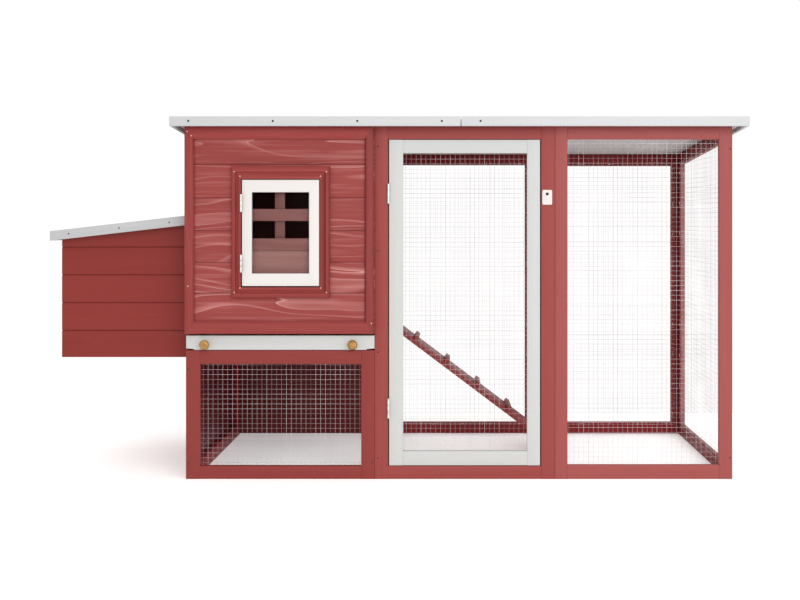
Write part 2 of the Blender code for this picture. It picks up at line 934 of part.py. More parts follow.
side_mesh_y = grown(wall_y, MESH_LAP - STOCK_WIDTH)
grille(
    "right_side_mesh",
    side_mesh_y,
    (STOCK_WIDTH - MESH_LAP, side_mesh_top(side_mesh_y[1])),
    (RIGHT - STOCK - GAP - MESH_THICK, RIGHT - STOCK - GAP),
    facing_side,
    "galvanised",
    top=side_mesh_top,
)

# Door, with its hinges in the gap at its left edge
bay_x, bay_z = inset(door_bay_x, front_z, *DOOR_BAY_WIDTHS)
door_x, door_z = inset(bay_x, bay_z, *DOOR_GAPS)
opening = flat_frame(
    "door_frame", door_x, door_z, DOOR_WIDTHS, front_face, "white_paint", door_pivot
)
fill("door_mesh", opening, front_mesh_y, door_pivot)
for place, low in DOOR_HINGE_Z.items():
    gap_hinge("door", place, (door_axis_x, door_axis_y, low), DOOR_HINGE, door_pivot)

# Turn button: a plate on one screw, hanging clear of the door at rest
button_y = FRONT - BUTTON_STANDOFF
button = box(
    "door_button",
    (BUTTON_PIVOT[0] - BUTTON_SIZE[0] / 2, BUTTON_PIVOT[0] + BUTTON_SIZE[0] / 2),
    (button_y - BUTTON_THICK, button_y),
    (
        BUTTON_PIVOT[1] + BUTTON_END - BUTTON_SIZE[1],
        BUTTON_PIVOT[1] + BUTTON_END,
    ),
    "white_paint",
    button_pivot,
    ease=BUTTON_EASE,
)
drill_profile = [
    (0, -CUT_PAST),
    (BUTTON_HOLE_R, -CUT_PAST),
    (BUTTON_HOLE_R, CUT_PAST),
    (0, CUT_PAST),
]
drill = to_object("cut_button_hole", lathe(drill_profile), None, local=True)
drill.parent = button_pivot
drill.rotation_euler = (math.pi / 2, 0, 0)
cut(button, drill)
screw = to_object("door_button_screw", lathe(SCREW_PROFILE), "hinge_steel", local=True)
screw.rotation_euler = (math.pi / 2, 0, 0)
screw.location = (BUTTON_PIVOT[0], FRONT, BUTTON_PIVOT[1])
shade_smooth(screw)


# Roof: two boards side by side, each with an edging round its three outer sides
def roof_board(name, x):
    y = (-ROOF_Y + EDGING + GAP, ROOF_Y - EDGING - GAP)
    outline = []
    for edge, lift in ((y[0], 0), (y[1], 0), (y[1], ROOF_BOARD), (y[0], ROOF_BOARD)):
        outline.append((edge, roof_underside(edge) + lift))
    near = [(x[0], edge, height) for edge, height in outline]
    far = [(x[1], edge, height) for edge, height in outline]
    to_object(name, prism(near, far), "roof_grey")


def roof_edging(name, end, joint):
    """A strip along the front, one end and the back."""
    inner_end = end + math.copysign(EDGING, joint - end)
    plan = [
        (end, -ROOF_Y),
        (joint, -ROOF_Y),
        (joint, -ROOF_Y + EDGING),
        (inner_end, -ROOF_Y + EDGING),
        (inner_end, ROOF_Y - EDGING),
        (joint, ROOF_Y - EDGING),
        (joint, ROOF_Y),
        (end, ROOF_Y),
    ]
    near = [(x, y, edging_base(y)) for x, y in plan]
    far = [(x, y, edging_base(y) + EDGING_HEIGHT) for x, y in plan]
    to_object(name, prism(near, far), "white_paint")


roof_board("roof_board_left", (ROOF_X[0] + EDGING + GAP, ROOF_JOINT - ROOF_SEAM))
roof_board("roof_board_right", (ROOF_JOINT + ROOF_SEAM, ROOF_X[1] - EDGING - GAP))
roof_edging("roof_edging_left", ROOF_X[0], ROOF_JOINT - ROOF_SEAM)
roof_edging("roof_edging_right", ROOF_X[1], ROOF_JOINT + ROOF_SEAM)

# Nest box on the left wall
nest_right = LEFT - GAP
nest_x = (NEST_OUTER, nest_right)
nest_tops = [lid_base(x) + LID_SEAT - LID_CLEARANCE for x in nest_x]
nest_joints = [NEST_FIRST_JOINT + k * BOARD_PITCH for k in range(NEST_JOINTS)]
clad_along_x(
    "nest_front", nest_x, -NEST_Y, 1, BOARD, NEST_BOTTOM, nest_tops, nest_joints, "red_paint"
)
clad_along_x(
    "nest_back", nest_x, NEST_Y, -1, BOARD, NEST_BOTTOM, nest_tops, nest_joints, "red_paint"
)
inner_y = (-NEST_Y + BOARD + GAP, NEST_Y - BOARD - GAP)
clad_along_y(
    "nest_end",
    inner_y,
    NEST_OUTER,
    1,
    BOARD,
    NEST_BOTTOM,
    (nest_tops[0], nest_tops[0]),
    nest_joints,
    "red_paint",
)
box(
    "nest_floor",
    (NEST_OUTER + BOARD + GAP, nest_right),
    inner_y,
    (NEST_BOTTOM, NEST_BOTTOM + NEST_FLOOR),
    "dark_red_paint",
    ease=0,
)


# Nest lid, hinged to the wall above the box
def lid_edging():
    inner_end = LID_X[0] + EDGING
    plan = [
        (LID_X[0], -LID_Y),
        (LID_X[1], -LID_Y),
        (LID_X[1], -LID_Y + EDGING),
        (inner_end, -LID_Y + EDGING),
        (inner_end, LID_Y - EDGING),
        (LID_X[1], LID_Y - EDGING),
        (LID_X[1], LID_Y),
        (LID_X[0], LID_Y),
    ]
    near = [(x, y, lid_base(x)) for x, y in plan]
    far = [(x, y, lid_base(x) + LID_EDGING_HEIGHT) for x, y in plan]
    to_object("lid_edging", prism(near, far), "white_paint", lid_pivot)


def lid_board():
    x = (LID_X[0] + EDGING + GAP, LID_X[1])
    y = (-LID_Y + EDGING + GAP, LID_Y - EDGING - GAP)
    outline = []
    for edge, lift in ((x[0], 0), (x[1], 0), (x[1], LID_BOARD), (x[0], LID_BOARD)):
        outline.append((edge, lid_base(edge) + LID_SEAT + lift))
    near = [(edge, y[0], height) for edge, height in outline]
    far = [(edge, y[1], height) for edge, height in outline]
    to_object("lid_board", prism(near, far), "roof_grey", lid_pivot)


lid_edging()
lid_board()
leaf_down = (-math.cos(lid_angle), 0, -math.sin(lid_angle))
near = LEAVES_FLAT
far = LEAVES_FLAT + LEAF
for place, middle in LID_HINGE_Y.items():
    foot = (lid_axis_x, middle - LID_HINGE[0] / 2, lid_axis_z)
    on_wall = oriented(foot, (0, 1, 0), (0, 0, 1))
    on_lid = oriented(foot, (0, 1, 0), leaf_down)
    fixed = "lid_hinge_fixed_" + place
    hinge_half(fixed, on_wall, LID_HINGE, (-far, -near), TAB_FLAT, False)
    leaf = "lid_hinge_leaf_" + place
    hinge_half(leaf, on_lid, LID_HINGE, (near, far), TAB_FLAT, True, lid_pivot)

# Ramp from the pop hole down to the ground of the run
rise = math.hypot(1, RAMP_SLOPE) * RAMP_THICK
ramp_start = HOUSE_RIGHT + RAMP_CLEARANCE
ramp_foot = GAP
ramp_outline = [
    (ramp_start, ramp_top(ramp_start)),
    (RAMP_END, ramp_top(RAMP_END)),
    (RAMP_END, ramp_foot),
    ((ramp_foot + rise - RAMP_Z_AT_ZERO) / RAMP_SLOPE, ramp_foot),
    (ramp_start, ramp_top(ramp_start) - rise),
]
ramp_y = (RAMP_Y - RAMP_WIDTH / 2, RAMP_Y + RAMP_WIDTH / 2)
near = [(x, ramp_y[0], z) for x, z in ramp_outline]
far = [(x, ramp_y[1], z) for x, z in ramp_outline]
to_object("ramp_board", prism(near, far), "dark_red_paint")
ramp_angle = math.atan(-RAMP_SLOPE)
lift = GAP + CLEAT[1] / 2
for number in range(CLEATS):
    x = HOUSE_RIGHT + CLEAT_FROM_WALL + number * CLEAT_PITCH
    cleat = box(
        f"ramp_cleat_{number + 1}",
        (-CLEAT[0] / 2, CLEAT[0] / 2),
        (-RAMP_WIDTH / 2, RAMP_WIDTH / 2),
        (-CLEAT[1] / 2, CLEAT[1] / 2),
        "dark_red_paint",
    )
    cleat.rotation_euler = (0, ramp_angle, 0)
    raised_x = x + lift * math.sin(ramp_angle)
    raised_z = ramp_top(x) + lift * math.cos(ramp_angle)
    cleat.location = (raised_x, RAMP_Y, raised_z)
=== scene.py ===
"""The looks of the chicken coop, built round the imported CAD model.

Metres, +Z up, front towards -Y. Positions come from the CAD nodes' boxes.
"""

import json
import math
import random

import bmesh
import bpy
from mathutils import Matrix, Vector

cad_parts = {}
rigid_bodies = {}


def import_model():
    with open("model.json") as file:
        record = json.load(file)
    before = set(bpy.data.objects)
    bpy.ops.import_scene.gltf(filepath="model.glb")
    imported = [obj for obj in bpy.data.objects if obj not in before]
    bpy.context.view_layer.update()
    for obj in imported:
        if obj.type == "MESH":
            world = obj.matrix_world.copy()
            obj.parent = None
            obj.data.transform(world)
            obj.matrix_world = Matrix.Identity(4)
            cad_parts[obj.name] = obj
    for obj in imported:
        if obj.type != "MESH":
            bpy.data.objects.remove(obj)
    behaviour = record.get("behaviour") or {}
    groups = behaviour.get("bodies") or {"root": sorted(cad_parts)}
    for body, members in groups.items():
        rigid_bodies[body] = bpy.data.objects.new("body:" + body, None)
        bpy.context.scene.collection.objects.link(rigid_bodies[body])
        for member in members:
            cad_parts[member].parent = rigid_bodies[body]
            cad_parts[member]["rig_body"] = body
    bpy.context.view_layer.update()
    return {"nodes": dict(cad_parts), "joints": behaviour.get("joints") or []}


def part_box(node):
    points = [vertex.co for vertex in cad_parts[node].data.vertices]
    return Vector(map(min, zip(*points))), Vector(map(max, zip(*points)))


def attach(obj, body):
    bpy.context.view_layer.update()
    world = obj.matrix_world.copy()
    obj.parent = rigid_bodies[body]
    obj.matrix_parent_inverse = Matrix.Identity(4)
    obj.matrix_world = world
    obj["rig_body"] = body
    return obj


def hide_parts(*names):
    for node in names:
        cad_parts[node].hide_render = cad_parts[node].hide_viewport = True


for old in list(bpy.data.objects):
    bpy.data.objects.remove(old, do_unlink=True)

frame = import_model()
chance = random.Random(11)

# Slots of the record
STEEL = "galvanised_steel"
ZINC = "zinc_plated_steel"

X = Vector((1, 0, 0))
Y = Vector((0, 1, 0))
Z = Vector((0, 0, 1))

# Driving dimensions, as in the CAD part
STOCK = 0.039  # width of a frame member
EASE = 0.0012  # rounding on the edges of a board
JOINT = 0.00005  # half the gap between two members
# Widths of the members at the left, right, bottom and top of a frame
MOULDING_WIDTHS = (0.0263, 0.0252, 0.0353, 0.0394)
SASH_MEMBER = 0.028
SASH_GAPS = (0.0039, 0.0020, 0.0035, 0.0018)
LOWER_WIDTHS = (0.040, 0.038, 0.0365, 0.0385)
DOOR_BAY_WIDTHS = (0.0375, STOCK, 0.037, STOCK)
RIGHT_WIDTHS = (0.0355, 0.0375, STOCK, STOCK)
BACK_MIDDLE_WIDTHS = (STOCK, STOCK, STOCK, 0.036)
DOOR_WIDTHS = (0.0395, 0.0365, 0.040, 0.0375)
HOUSE_JOINTS = (0.525, 0.612, 0.7015, 0.794, 0.888)
BOARD_PITCH = 0.0804
FIRST_JOINT = 0.0906
NEST_FIRST_JOINT = 0.4123
NEST_JOINTS = 4
WIRE_PITCH = 0.0139
WIRE_R = 0.00024
STAPLE_R = 0.0005

# The roof falls to the back and the lid falls to the left. ALONG is down the roof and up the
# lid, UP is square to the board, and STRETCH is its true length for each metre on the level.
ROOF_SLOPE = 0.0663
ROOF_ALONG = Vector((0, 1, -ROOF_SLOPE)).normalized()
ROOF_UP = Vector((0, ROOF_SLOPE, 1)).normalized()
ROOF_STRETCH = math.hypot(1, ROOF_SLOPE)
LID_SLOPE = 0.1145
LID_ALONG = Vector((1, 0, LID_SLOPE)).normalized()
LID_UP = Vector((-LID_SLOPE, 0, 1)).normalized()
LID_STRETCH = math.hypot(1, LID_SLOPE)
LID_ANGLE = math.atan(LID_SLOPE)
RAMP_ANGLE = math.atan(0.7528)
FELT_THICK = 0.0025
EDGING_THICK = 0.010
EDGING_TALL = 0.0275
ROOF_SEAM = 0.0007  # how far each strip stops short at the middle of the roof

PAINT_SPECULAR = 0.2  # the paint is a dull satin
FLOOR_GLOW = 0.25  # keeps the studio floor pale under the coop
FLOOR_HALF = (1.9, 1.0)  # half the studio floor's length and depth
FLOOR_BACK = 0.68  # how far it reaches behind the coop's middle


# ---------------------------------------------------------------- materials
def srgb(red, green, blue):
    """The linear colour of an 8-bit screen colour."""
    linear = []
    for value in (red, green, blue):
        share = value / 255
        low = share / 12.92
        high = ((share + 0.055) / 1.055) ** 2.4
        linear.append(low if share <= 0.04045 else high)
    return (*linear, 1.0)


def grey(share):
    return (share, share, share, 1)


def mixed(first, second, share):
    return tuple(a + (b - a) * share for a, b in zip(first, second))


class Finish:
    """A node material, with short calls for the nodes that these finishes use."""

    def __init__(self, name, roughness=0.5, metallic=0.0):
        self.material = bpy.data.materials.new(name)
        self.material.use_nodes = True
        self.tree = self.material.node_tree
        self.shader = self.tree.nodes["Principled BSDF"]
        self.set("Roughness", roughness)
        self.set("Metallic", metallic)

    def put(self, value, socket):
        if isinstance(value, bpy.types.NodeSocket):
            self.tree.links.new(value, socket)
        else:
            socket.default_value = value

    def set(self, name, value):
        """Gives one of the shader's inputs a value or another node's output."""
        self.put(value, self.shader.inputs[name])

    def add(self, kind, inputs, output=0, **settings):
        """The output of a new node, whose inputs are given by name or number."""
        node = self.tree.nodes.new("ShaderNode" + kind)
        for name, value in settings.items():
            setattr(node, name, value)
        for key, value in inputs.items():
            self.put(value, node.inputs[key])
        return node.outputs[output]

    def attribute(self, name, output="Vector"):
        return self.add("Attribute", {}, output, attribute_name=name)

    def position(self):
        return self.add("TexCoord", {}, "Object")

    def vector(self, operation, first, second):
        return self.add("VectorMath", {0: first, 1: second}, operation=operation)

    def math(self, operation, first, second=0.0):
        return self.add("Math", {0: first, 1: second}, operation=operation)

    def noise(self, vector, scale=1.0, detail=2.0, roughness=0.5):
        inputs = {"Vector": vector, "Scale": scale, "Detail": detail, "Roughness": roughness}
        return self.add("TexNoise", inputs)

    def cells(self, vector, scale):
        return self.add("TexVoronoi", {"Vector": vector, "Scale": scale}, "Distance")

    def spread(self, value, low, high, to_low=0.0, to_high=1.0):
        inputs = {"Value": value, "From Min": low, "From Max": high, "To Min": to_low, "To Max": to_high}
        return self.add("MapRange", inputs)

    def ramp(self, value, stops):
        output = self.add("ValToRGB", {0: value})
        points = output.node.color_ramp.elements
        while len(points) < len(stops):
            points.new(0.5)
        for point, (place, colour) in zip(points, stops):
            point.position = place
            point.color = colour
        return output

    def mix(self, share, first, second, blend="MIX"):
        """A blend of two colours."""
        inputs = {0: share, 6: first, 7: second}
        return self.add("Mix", inputs, 2, data_type="RGBA", blend_type=blend)

    def bump(self, height, distance):
        self.set("Normal", self.add("Bump", {"Height": height, "Distance": distance}))

    def colour(self, value):
        self.set("Base Color", value)

    def rough(self, value):
        self.set("Roughness", value)


def painted_timber(name, dark, base, light, figure, rings, relief, **extras):
    """Painted softwood. Its grain follows each board's own length, through the grain attribute.

    figure is how strongly the growth rings show. Extras: wear at the edges, gloss, least for the
    darkest board's tone, within for the painted shade on the side that faces the inside of
    the house, and sheltered for the painted reflection of the pane on the wood behind it.
    """
    gloss = extras.get("gloss", 0.5)
    finish = Finish(name, gloss)
    finish.set("Specular IOR Level", PAINT_SPECULAR)
    grain = finish.attribute("grain")
    rim = finish.attribute("rim", "Fac")

    def stretched(scales):
        return finish.vector("MULTIPLY", grain, scales)

    swing = finish.noise(stretched((2.2, 7, 7)), detail=1.5)
    sideways = finish.add("CombineXYZ", {"Y": finish.math("MULTIPLY", swing, 2.3)})
    bent = finish.vector("ADD", stretched((1.2, 16, 9)), sideways)
    field = finish.noise(bent, detail=1.0, roughness=0.4)
    turns = finish.math("FRACT", finish.math("MULTIPLY", field, rings))
    deep = mixed(base, dark, 0.9)
    soft = mixed(base, light, 0.38)
    crest = finish.ramp(turns, [(0.0, deep), (0.010, light), (0.024, soft), (0.30, base), (0.9, base)])
    patches = finish.noise(stretched((1.1, 8, 8)), detail=1.0)
    strength = finish.spread(patches, 0.36, 0.60, 0.35 * figure, figure)
    colour = finish.mix(strength, base, crest)

    fibres = finish.noise(stretched((11, 420, 420)), detail=2.0)
    streaks = finish.noise(stretched((3.5, 90, 90)), detail=3.0)
    colour = finish.mix(finish.spread(fibres, 0.45, 0.75, 0, 0.12), colour, dark)
    colour = finish.mix(finish.spread(streaks, 0.5, 0.75, 0, 0.16), colour, light)
    tone = finish.attribute("tone", "Fac")
    board_tone = finish.ramp(tone, [(0.0, grey(extras.get("least", 0.92))), (1.0, grey(1))])
    colour = finish.mix(1.0, colour, board_tone, "MULTIPLY")
    chips = finish.noise(stretched((60, 60, 60)), detail=4.0)
    wear = finish.spread(chips, 0.52, 0.64, 0, extras.get("wear", 0.35))
    colour = finish.mix(finish.math("MULTIPLY", rim, wear), colour, light)
    # Painted shade on the faces inside the house, and a painted reflection of the pane on the wood
    # behind it
    for place in ("within", "sheltered"):
        if place in extras:
            tint = finish.ramp(streaks, [(0.3, mixed(extras[place], dark, 0.25)), (0.7, extras[place])])
            colour = finish.mix(finish.attribute(place, "Fac"), colour, tint)
    finish.colour(colour)
    finish.rough(finish.spread(streaks, 0.3, 0.7, gloss - 0.08, gloss + 0.10))
    ridge = finish.math("MULTIPLY", turns, 0.35 * figure)
    finish.bump(finish.math("ADD", finish.math("MULTIPLY", fibres, 0.5), ridge), relief)
    return finish.material


def roofing_felt():
    finish = Finish("roofing_felt", 0.9)
    place = finish.position()
    grains = finish.cells(place, 620)
    broad = finish.noise(place, 5.0, 4.0)
    speckle = finish.noise(place, 900.0, 1.0)
    stops = [(0.35, srgb(92, 95, 96)), (0.52, srgb(132, 135, 136)), (0.66, srgb(176, 178, 178))]
    shade = finish.ramp(broad, [(0.3, grey(0.80)), (0.7, grey(1))])
    finish.colour(finish.mix(1.0, finish.ramp(speckle, stops), shade, "MULTIPLY"))
    finish.rough(finish.spread(speckle, 0.3, 0.7, 0.82, 0.98))
    finish.bump(finish.math("SUBTRACT", 1.0, grains), 0.0007)
    return finish.material


def metal(name, dull, bright, roughness, metallic=1.0):
    """Bare or plated metal with mottled colour and fine scratches."""
    finish = Finish(name, roughness, metallic)
    place = finish.position()
    mottle = finish.noise(place, 130.0, 3.0)
    lines = finish.noise(finish.vector("MULTIPLY", place, (400, 400, 40)), detail=2.0)
    finish.colour(finish.ramp(mottle, [(0.35, dull), (0.65, bright)]))
    finish.rough(finish.spread(lines, 0.3, 0.7, roughness - 0.08, roughness + 0.14))
    finish.bump(lines, 0.00008)
    return finish.material


def galvanised_wire():
    """Wire that is bright in some places and dull in others, and differs from wire to wire."""
    finish = Finish("galvanised_wire", 0.45, 0.1)
    place = finish.position()
    patches = finish.noise(place, 7.0, 2.0)
    spangle = finish.noise(place, 300.0, 2.0)
    each = finish.math("MULTIPLY", finish.attribute("tone", "Fac"), 0.62)
    bright = finish.math("ADD", each, finish.spread(patches, 0.35, 0.65, 0.0, 0.38))
    stops = [(0.10, srgb(108, 92, 94)), (0.50, srgb(202, 182, 183)), (0.85, srgb(255, 246, 245))]
    shade = finish.ramp(spangle, [(0.35, grey(0.82)), (0.65, grey(1))])
    finish.colour(finish.mix(1.0, finish.ramp(bright, stops), shade, "MULTIPLY"))
    finish.rough(finish.spread(spangle, 0.3, 0.7, 0.36, 0.56))
    return finish.material


def brushed_brass():
    """Turned brass: fine rings round the knob's middle, and slight tarnish."""
    finish = Finish("brushed_brass", 0.5, 0.85)
    tarnish = finish.noise(finish.position(), 90.0, 4.0)
    rings = finish.noise(finish.vector("MULTIPLY", finish.attribute("grain"), (1, 1, 2600)))
    stops = [(0.30, srgb(134, 98, 56)), (0.55, srgb(170, 130, 78)), (0.75, srgb(192, 154, 102))]
    finish.colour(finish.ramp(tarnish, stops))
    finish.rough(finish.spread(rings, 0.3, 0.7, 0.42, 0.60))
    finish.bump(rings, 0.00006)
    return finish.material


def clear_pane():
    """Clear acrylic sheet with faint smears."""
    finish = Finish("clear_pane", 0.12)
    smears = finish.noise(finish.vector("MULTIPLY", finish.position(), (18, 18, 60)), detail=3.0)
    finish.colour(finish.ramp(smears, [(0.3, srgb(12, 13, 13)), (0.7, srgb(20, 21, 21))]))
    finish.set("Alpha", 0.05)
    finish.set("Specular IOR Level", 0.15)
    finish.rough(finish.spread(smears, 0.3, 0.7, 0.06, 0.2))
    return finish.material


def coated_plate():
    finish = Finish("coated_plate", 0.4)
    specks = finish.noise(finish.position(), 260.0, 3.0)
    finish.colour(finish.ramp(specks, [(0.35, srgb(206, 191, 187)), (0.7, srgb(222, 208, 204))]))
    finish.rough(finish.spread(specks, 0.3, 0.7, 0.34, 0.5))
    finish.bump(specks, 0.00012)
    return finish.material


def pale_floor():
    finish = Finish("pale_floor", 0.9)
    soft = finish.noise(finish.position(), 1.3, 2.0)
    finish.colour(finish.ramp(soft, [(0.3, srgb(249, 249, 248)), (0.7, srgb(253, 253, 252))]))
    finish.set("Specular IOR Level", 0.1)
    finish.set("Emission Color", (1.0, 1.0, 1.0, 1.0))
    finish.set("Emission Strength", FLOOR_GLOW)
    return finish.material


def frame_red(name, base, light, within=srgb(80, 9, 15)):
    """The smooth red of the flat frames. Its copies are lighter towards the run's right end, as painted
    light.
    """
    looks = {"figure": 0.08, "rings": 4.0, "relief": 0.0002, "wear": 0.06, "least": 0.985}
    return painted_timber(name, srgb(112, 38, 34), base, light, within=within, **looks)


def edging_white(name, base):
    """The edging strips' pale paint, lighter on the right strips and darker on the lid's, as painted
    light.
    """
    dark = mixed(base, srgb(150, 152, 153), 0.4)
    light = mixed(base, srgb(232, 233, 234), 0.5)
    return painted_timber(name, dark, base, light, 0.12, rings=3.0, relief=0.0002, wear=0.1)


# Its pale sheltered colour is a painted reflection of the pane, and its within colour painted shade
HOUSE_RED = painted_timber(
    "house_boards_red", srgb(110, 34, 34), srgb(140, 60, 57), srgb(226, 166, 160), figure=0.85,
    rings=7.0, relief=0.0006, within=srgb(58, 6, 11), sheltered=srgb(149, 109, 103),
)
# least sets how dark the painted shade of the right strips goes
TRIM_RED = painted_timber(
    "trim_red", srgb(100, 30, 30), srgb(140, 56, 53), srgb(172, 92, 88), figure=0.30,
    rings=4.0, relief=0.0004, wear=0.55, least=0.76,
)
# The slats behind the pane are greyed and paled as a painted reflection of the pane
SLAT_REFLECTION_RED = painted_timber(
    "slat_red_pane_reflection", srgb(92, 56, 54), srgb(128, 82, 78), srgb(160, 112, 106), figure=0.5,
    rings=5.0, relief=0.0004,
)
# Copies of one red paint that grow lighter from the left of the front to its right, as painted light
FRAME_RED = frame_red("frame_red", srgb(128, 50, 46), srgb(147, 70, 66))
BAY_LIT_RED = frame_red("door_bay_lit_red", srgb(138, 60, 57), srgb(160, 82, 78))
RUN_RED = frame_red("run_frame_red", srgb(132, 54, 50), srgb(150, 74, 70), srgb(114, 14, 22))
RIGHT_LIT_RED = frame_red("right_lit_red", srgb(145, 71, 68), srgb(168, 92, 88))
# Darker than the frames as painted shade of the nest's recess beside the house
NEST_SHADED_RED = painted_timber(
    "nest_red_shaded", srgb(104, 30, 27), srgb(128, 44, 39), srgb(146, 62, 56), figure=0.12,
    rings=5.0, relief=0.0003, within=srgb(58, 6, 11),
)
# A darker copy of the red for the parts inside the coop, as painted shade
SHADED_INNER_RED = painted_timber(
    "inner_red_shaded", srgb(76, 6, 12), srgb(122, 22, 30), srgb(146, 44, 50), figure=0.25,
    rings=5.0, relief=0.0003,
)
RAMP_RED = painted_timber(
    "ramp_red", srgb(84, 14, 20), srgb(136, 50, 48), srgb(158, 78, 74), figure=0.3,
    rings=5.0, relief=0.0004, wear=0.6,
)
WHITE_PAINT = painted_timber(
    "white_paint", srgb(164, 164, 162), srgb(184, 184, 182), srgb(195, 195, 193), figure=0.10,
    rings=3.0, relief=0.00018, gloss=0.42, wear=0.08, least=0.985,
)
SASH_WHITE = painted_timber(
    "sash_white", srgb(192, 187, 181), srgb(210, 206, 203), srgb(221, 218, 215), figure=0.20,
    rings=3.0, relief=0.00025, gloss=0.40,
)
EDGING_WHITE = {
    "left": edging_white("edging_white_left", srgb(184, 185, 185)),
    "right": edging_white("edging_white_right", srgb(191, 192, 192)),
    "lid": edging_white("edging_white_lid", srgb(172, 172, 172)),
}
CEILING_GREY = painted_timber(
    "ceiling_grey", srgb(154, 149, 148), srgb(186, 183, 182), srgb(194, 191, 190), figure=0.30,
    rings=4.0, relief=0.0003,
)
FELT = roofing_felt()
WIRE = galvanised_wire()
PAN = metal("galvanised_pan", srgb(168, 172, 175), srgb(206, 209, 211), 0.38)
HINGE = metal("zinc_hinge", srgb(206, 203, 198), srgb(232, 230, 226), 0.34, 0.8)
DARK_SCREW = metal("dark_screw", srgb(8, 7, 7), srgb(26, 22, 22), 0.6, 0.1)
NAIL = metal("nail_head", srgb(206, 176, 140), srgb(236, 214, 184), 0.4, 0.4)
KNOB = brushed_brass()
PANE = clear_pane()
PLATE = coated_plate()


# ---------------------------------------------------------------- mesh tools
def to_piece(name, bm, material, node, smooth=30):
    """Turns a mesh in the row frame into a shown piece that rides where its CAD node does."""
    bmesh.ops.recalc_face_normals(bm, faces=bm.faces)
    mesh = bpy.data.meshes.new(name)
    bm.to_mesh(mesh)
    bm.free()
    mesh.materials.append(material)
    mesh.shade_smooth()
    mesh.set_sharp_from_angle(angle=math.radians(smooth))
    obj = bpy.data.objects.new(name, mesh)
    bpy.context.scene.collection.objects.link(obj)
    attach(obj, frame["nodes"][node]["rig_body"])
    return obj


def stands_for(name, bm, material, node, smooth=30):
    """A shown piece that takes the place of a CAD node."""
    obj = to_piece(name, bm, material, node, smooth)
    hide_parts(node)


def layers(bm):
    """The grain, tone and rim layers that the timber materials read."""
    vector = bm.verts.layers.float_vector
    number = bm.verts.layers.float
    grain = vector.get("grain") or vector.new("grain")
    tone = number.get("tone") or number.new("tone")
    rim = number.get("rim") or number.new("rim")
    return grain, tone, rim


def merge(parts):
    """One mesh from several, with their layers."""
    whole = bmesh.new()
    layers(whole)
    for part in parts:
        mesh = bpy.data.meshes.new("part")
        part.to_mesh(mesh)
        part.free()
        whole.from_mesh(mesh)
        bpy.data.meshes.remove(mesh)
    return whole


def bridge(bm, first, second):
    """Faces between two rings of as many vertices."""
    for i in range(len(first)):
        j = (i + 1) % len(first)
        bm.faces.new((first[i], first[j], second[j], second[i]))


def skin(bm, rings):
    """Faces from ring to ring, and one on each end."""
    for first, second in zip(rings, rings[1:]):
        bridge(bm, first, second)
    bm.faces.new(list(reversed(rings[0])))
    bm.faces.new(rings[-1])


def quarter(u, v, radius, start, count):
    """Points on a quarter circle that starts at an angle in degrees."""
    angles = [math.radians(start + 90 * k / (count - 1)) for k in range(count)]
    return [(u + radius * math.cos(angle), v + radius * math.sin(angle)) for angle in angles]


def rounded(low_u, high_u, low_v, high_v, radius, count):
    """The outline of a rectangle with round corners."""
    left, right = low_u + radius, high_u - radius
    bottom, top = low_v + radius, high_v - radius
    corners = ((right, top, 0), (left, top, 90), (left, bottom, 180), (right, bottom, 270))
    return [point for u, v, start in corners for point in quarter(u, v, radius, start, count)]


def grain_seed():
    """Where a board's grain starts, so that no two boards are alike."""
    return Vector((chance.uniform(0, 40), chance.uniform(0, 4), chance.uniform(0, 4)))


def board(along, across, through, centre, cuts=(), ease=EASE, segments=2, square=False):
    """A board with rounded edges. The three vectors are its full length, width and thickness.

    Each cut is a point and a normal, and takes off what lies beyond it. A square board keeps
    sharp ends, because they butt against others.
    """
    size = Vector((along.length, across.length, through.length))
    turn = Matrix((along.normalized(), across.normalized(), through.normalized()))
    place = Matrix.Translation(centre) @ turn.transposed().to_4x4()
    bm = bmesh.new()
    grain, tone, rim = layers(bm)
    bmesh.ops.create_cube(bm, size=1.0)
    bmesh.ops.scale(bm, vec=size, verts=bm.verts)
    ease = min(ease, 0.4 * min(size))
    ends = [edge for edge in bm.edges if abs(edge.verts[0].co.x - edge.verts[1].co.x) < 1e-6]
    rounded_edges = set(bm.edges) - set(ends) if square else bm.edges
    geom = sorted(rounded_edges, key=lambda edge: edge.index)
    bmesh.ops.bevel(bm, geom=geom, offset=ease, segments=segments, profile=0.5, affect="EDGES")
    half = size / 2
    seed = grain_seed()
    shade = chance.random()
    sides = (1, 2) if square else (0, 1, 2)
    for vertex in bm.verts:
        depths = sorted(half[k] - abs(vertex.co[k]) for k in sides)
        vertex[rim] = 1.0 if depths[1] < 0.8 * ease else 0.0
    bmesh.ops.transform(bm, matrix=place, verts=bm.verts)
    for point, normal in cuts:
        everything = bm.verts[:] + bm.edges[:] + bm.faces[:]
        bmesh.ops.bisect_plane(bm, geom=everything, plane_co=point, plane_no=normal, clear_outer=True)
        bmesh.ops.holes_fill(bm, edges=[edge for edge in bm.edges if edge.is_boundary])
    back = place.inverted()
    for vertex in bm.verts:
        vertex[grain] = (back @ vertex.co) + seed
        vertex[tone] = shade
    return bm


def plank(low, high, run, cuts=(), ease=EASE, square=False):
    """A board that fills a box. run is the axis its grain follows."""
    size = high - low
    axes = [X * size.x, Y * size.y, Z * size.z]
    along = axes.pop("xyz".index(run))
    axes.sort(key=lambda axis: -axis.length)
    return board(along, axes[0], axes[1], (low + high) / 2, cuts, ease, square=square)


def plain_board(node, run, material):
    """One board in the place of a CAD node that is a plain board too."""
    stands_for(node + "_board", plank(*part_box(node), run), material, node)


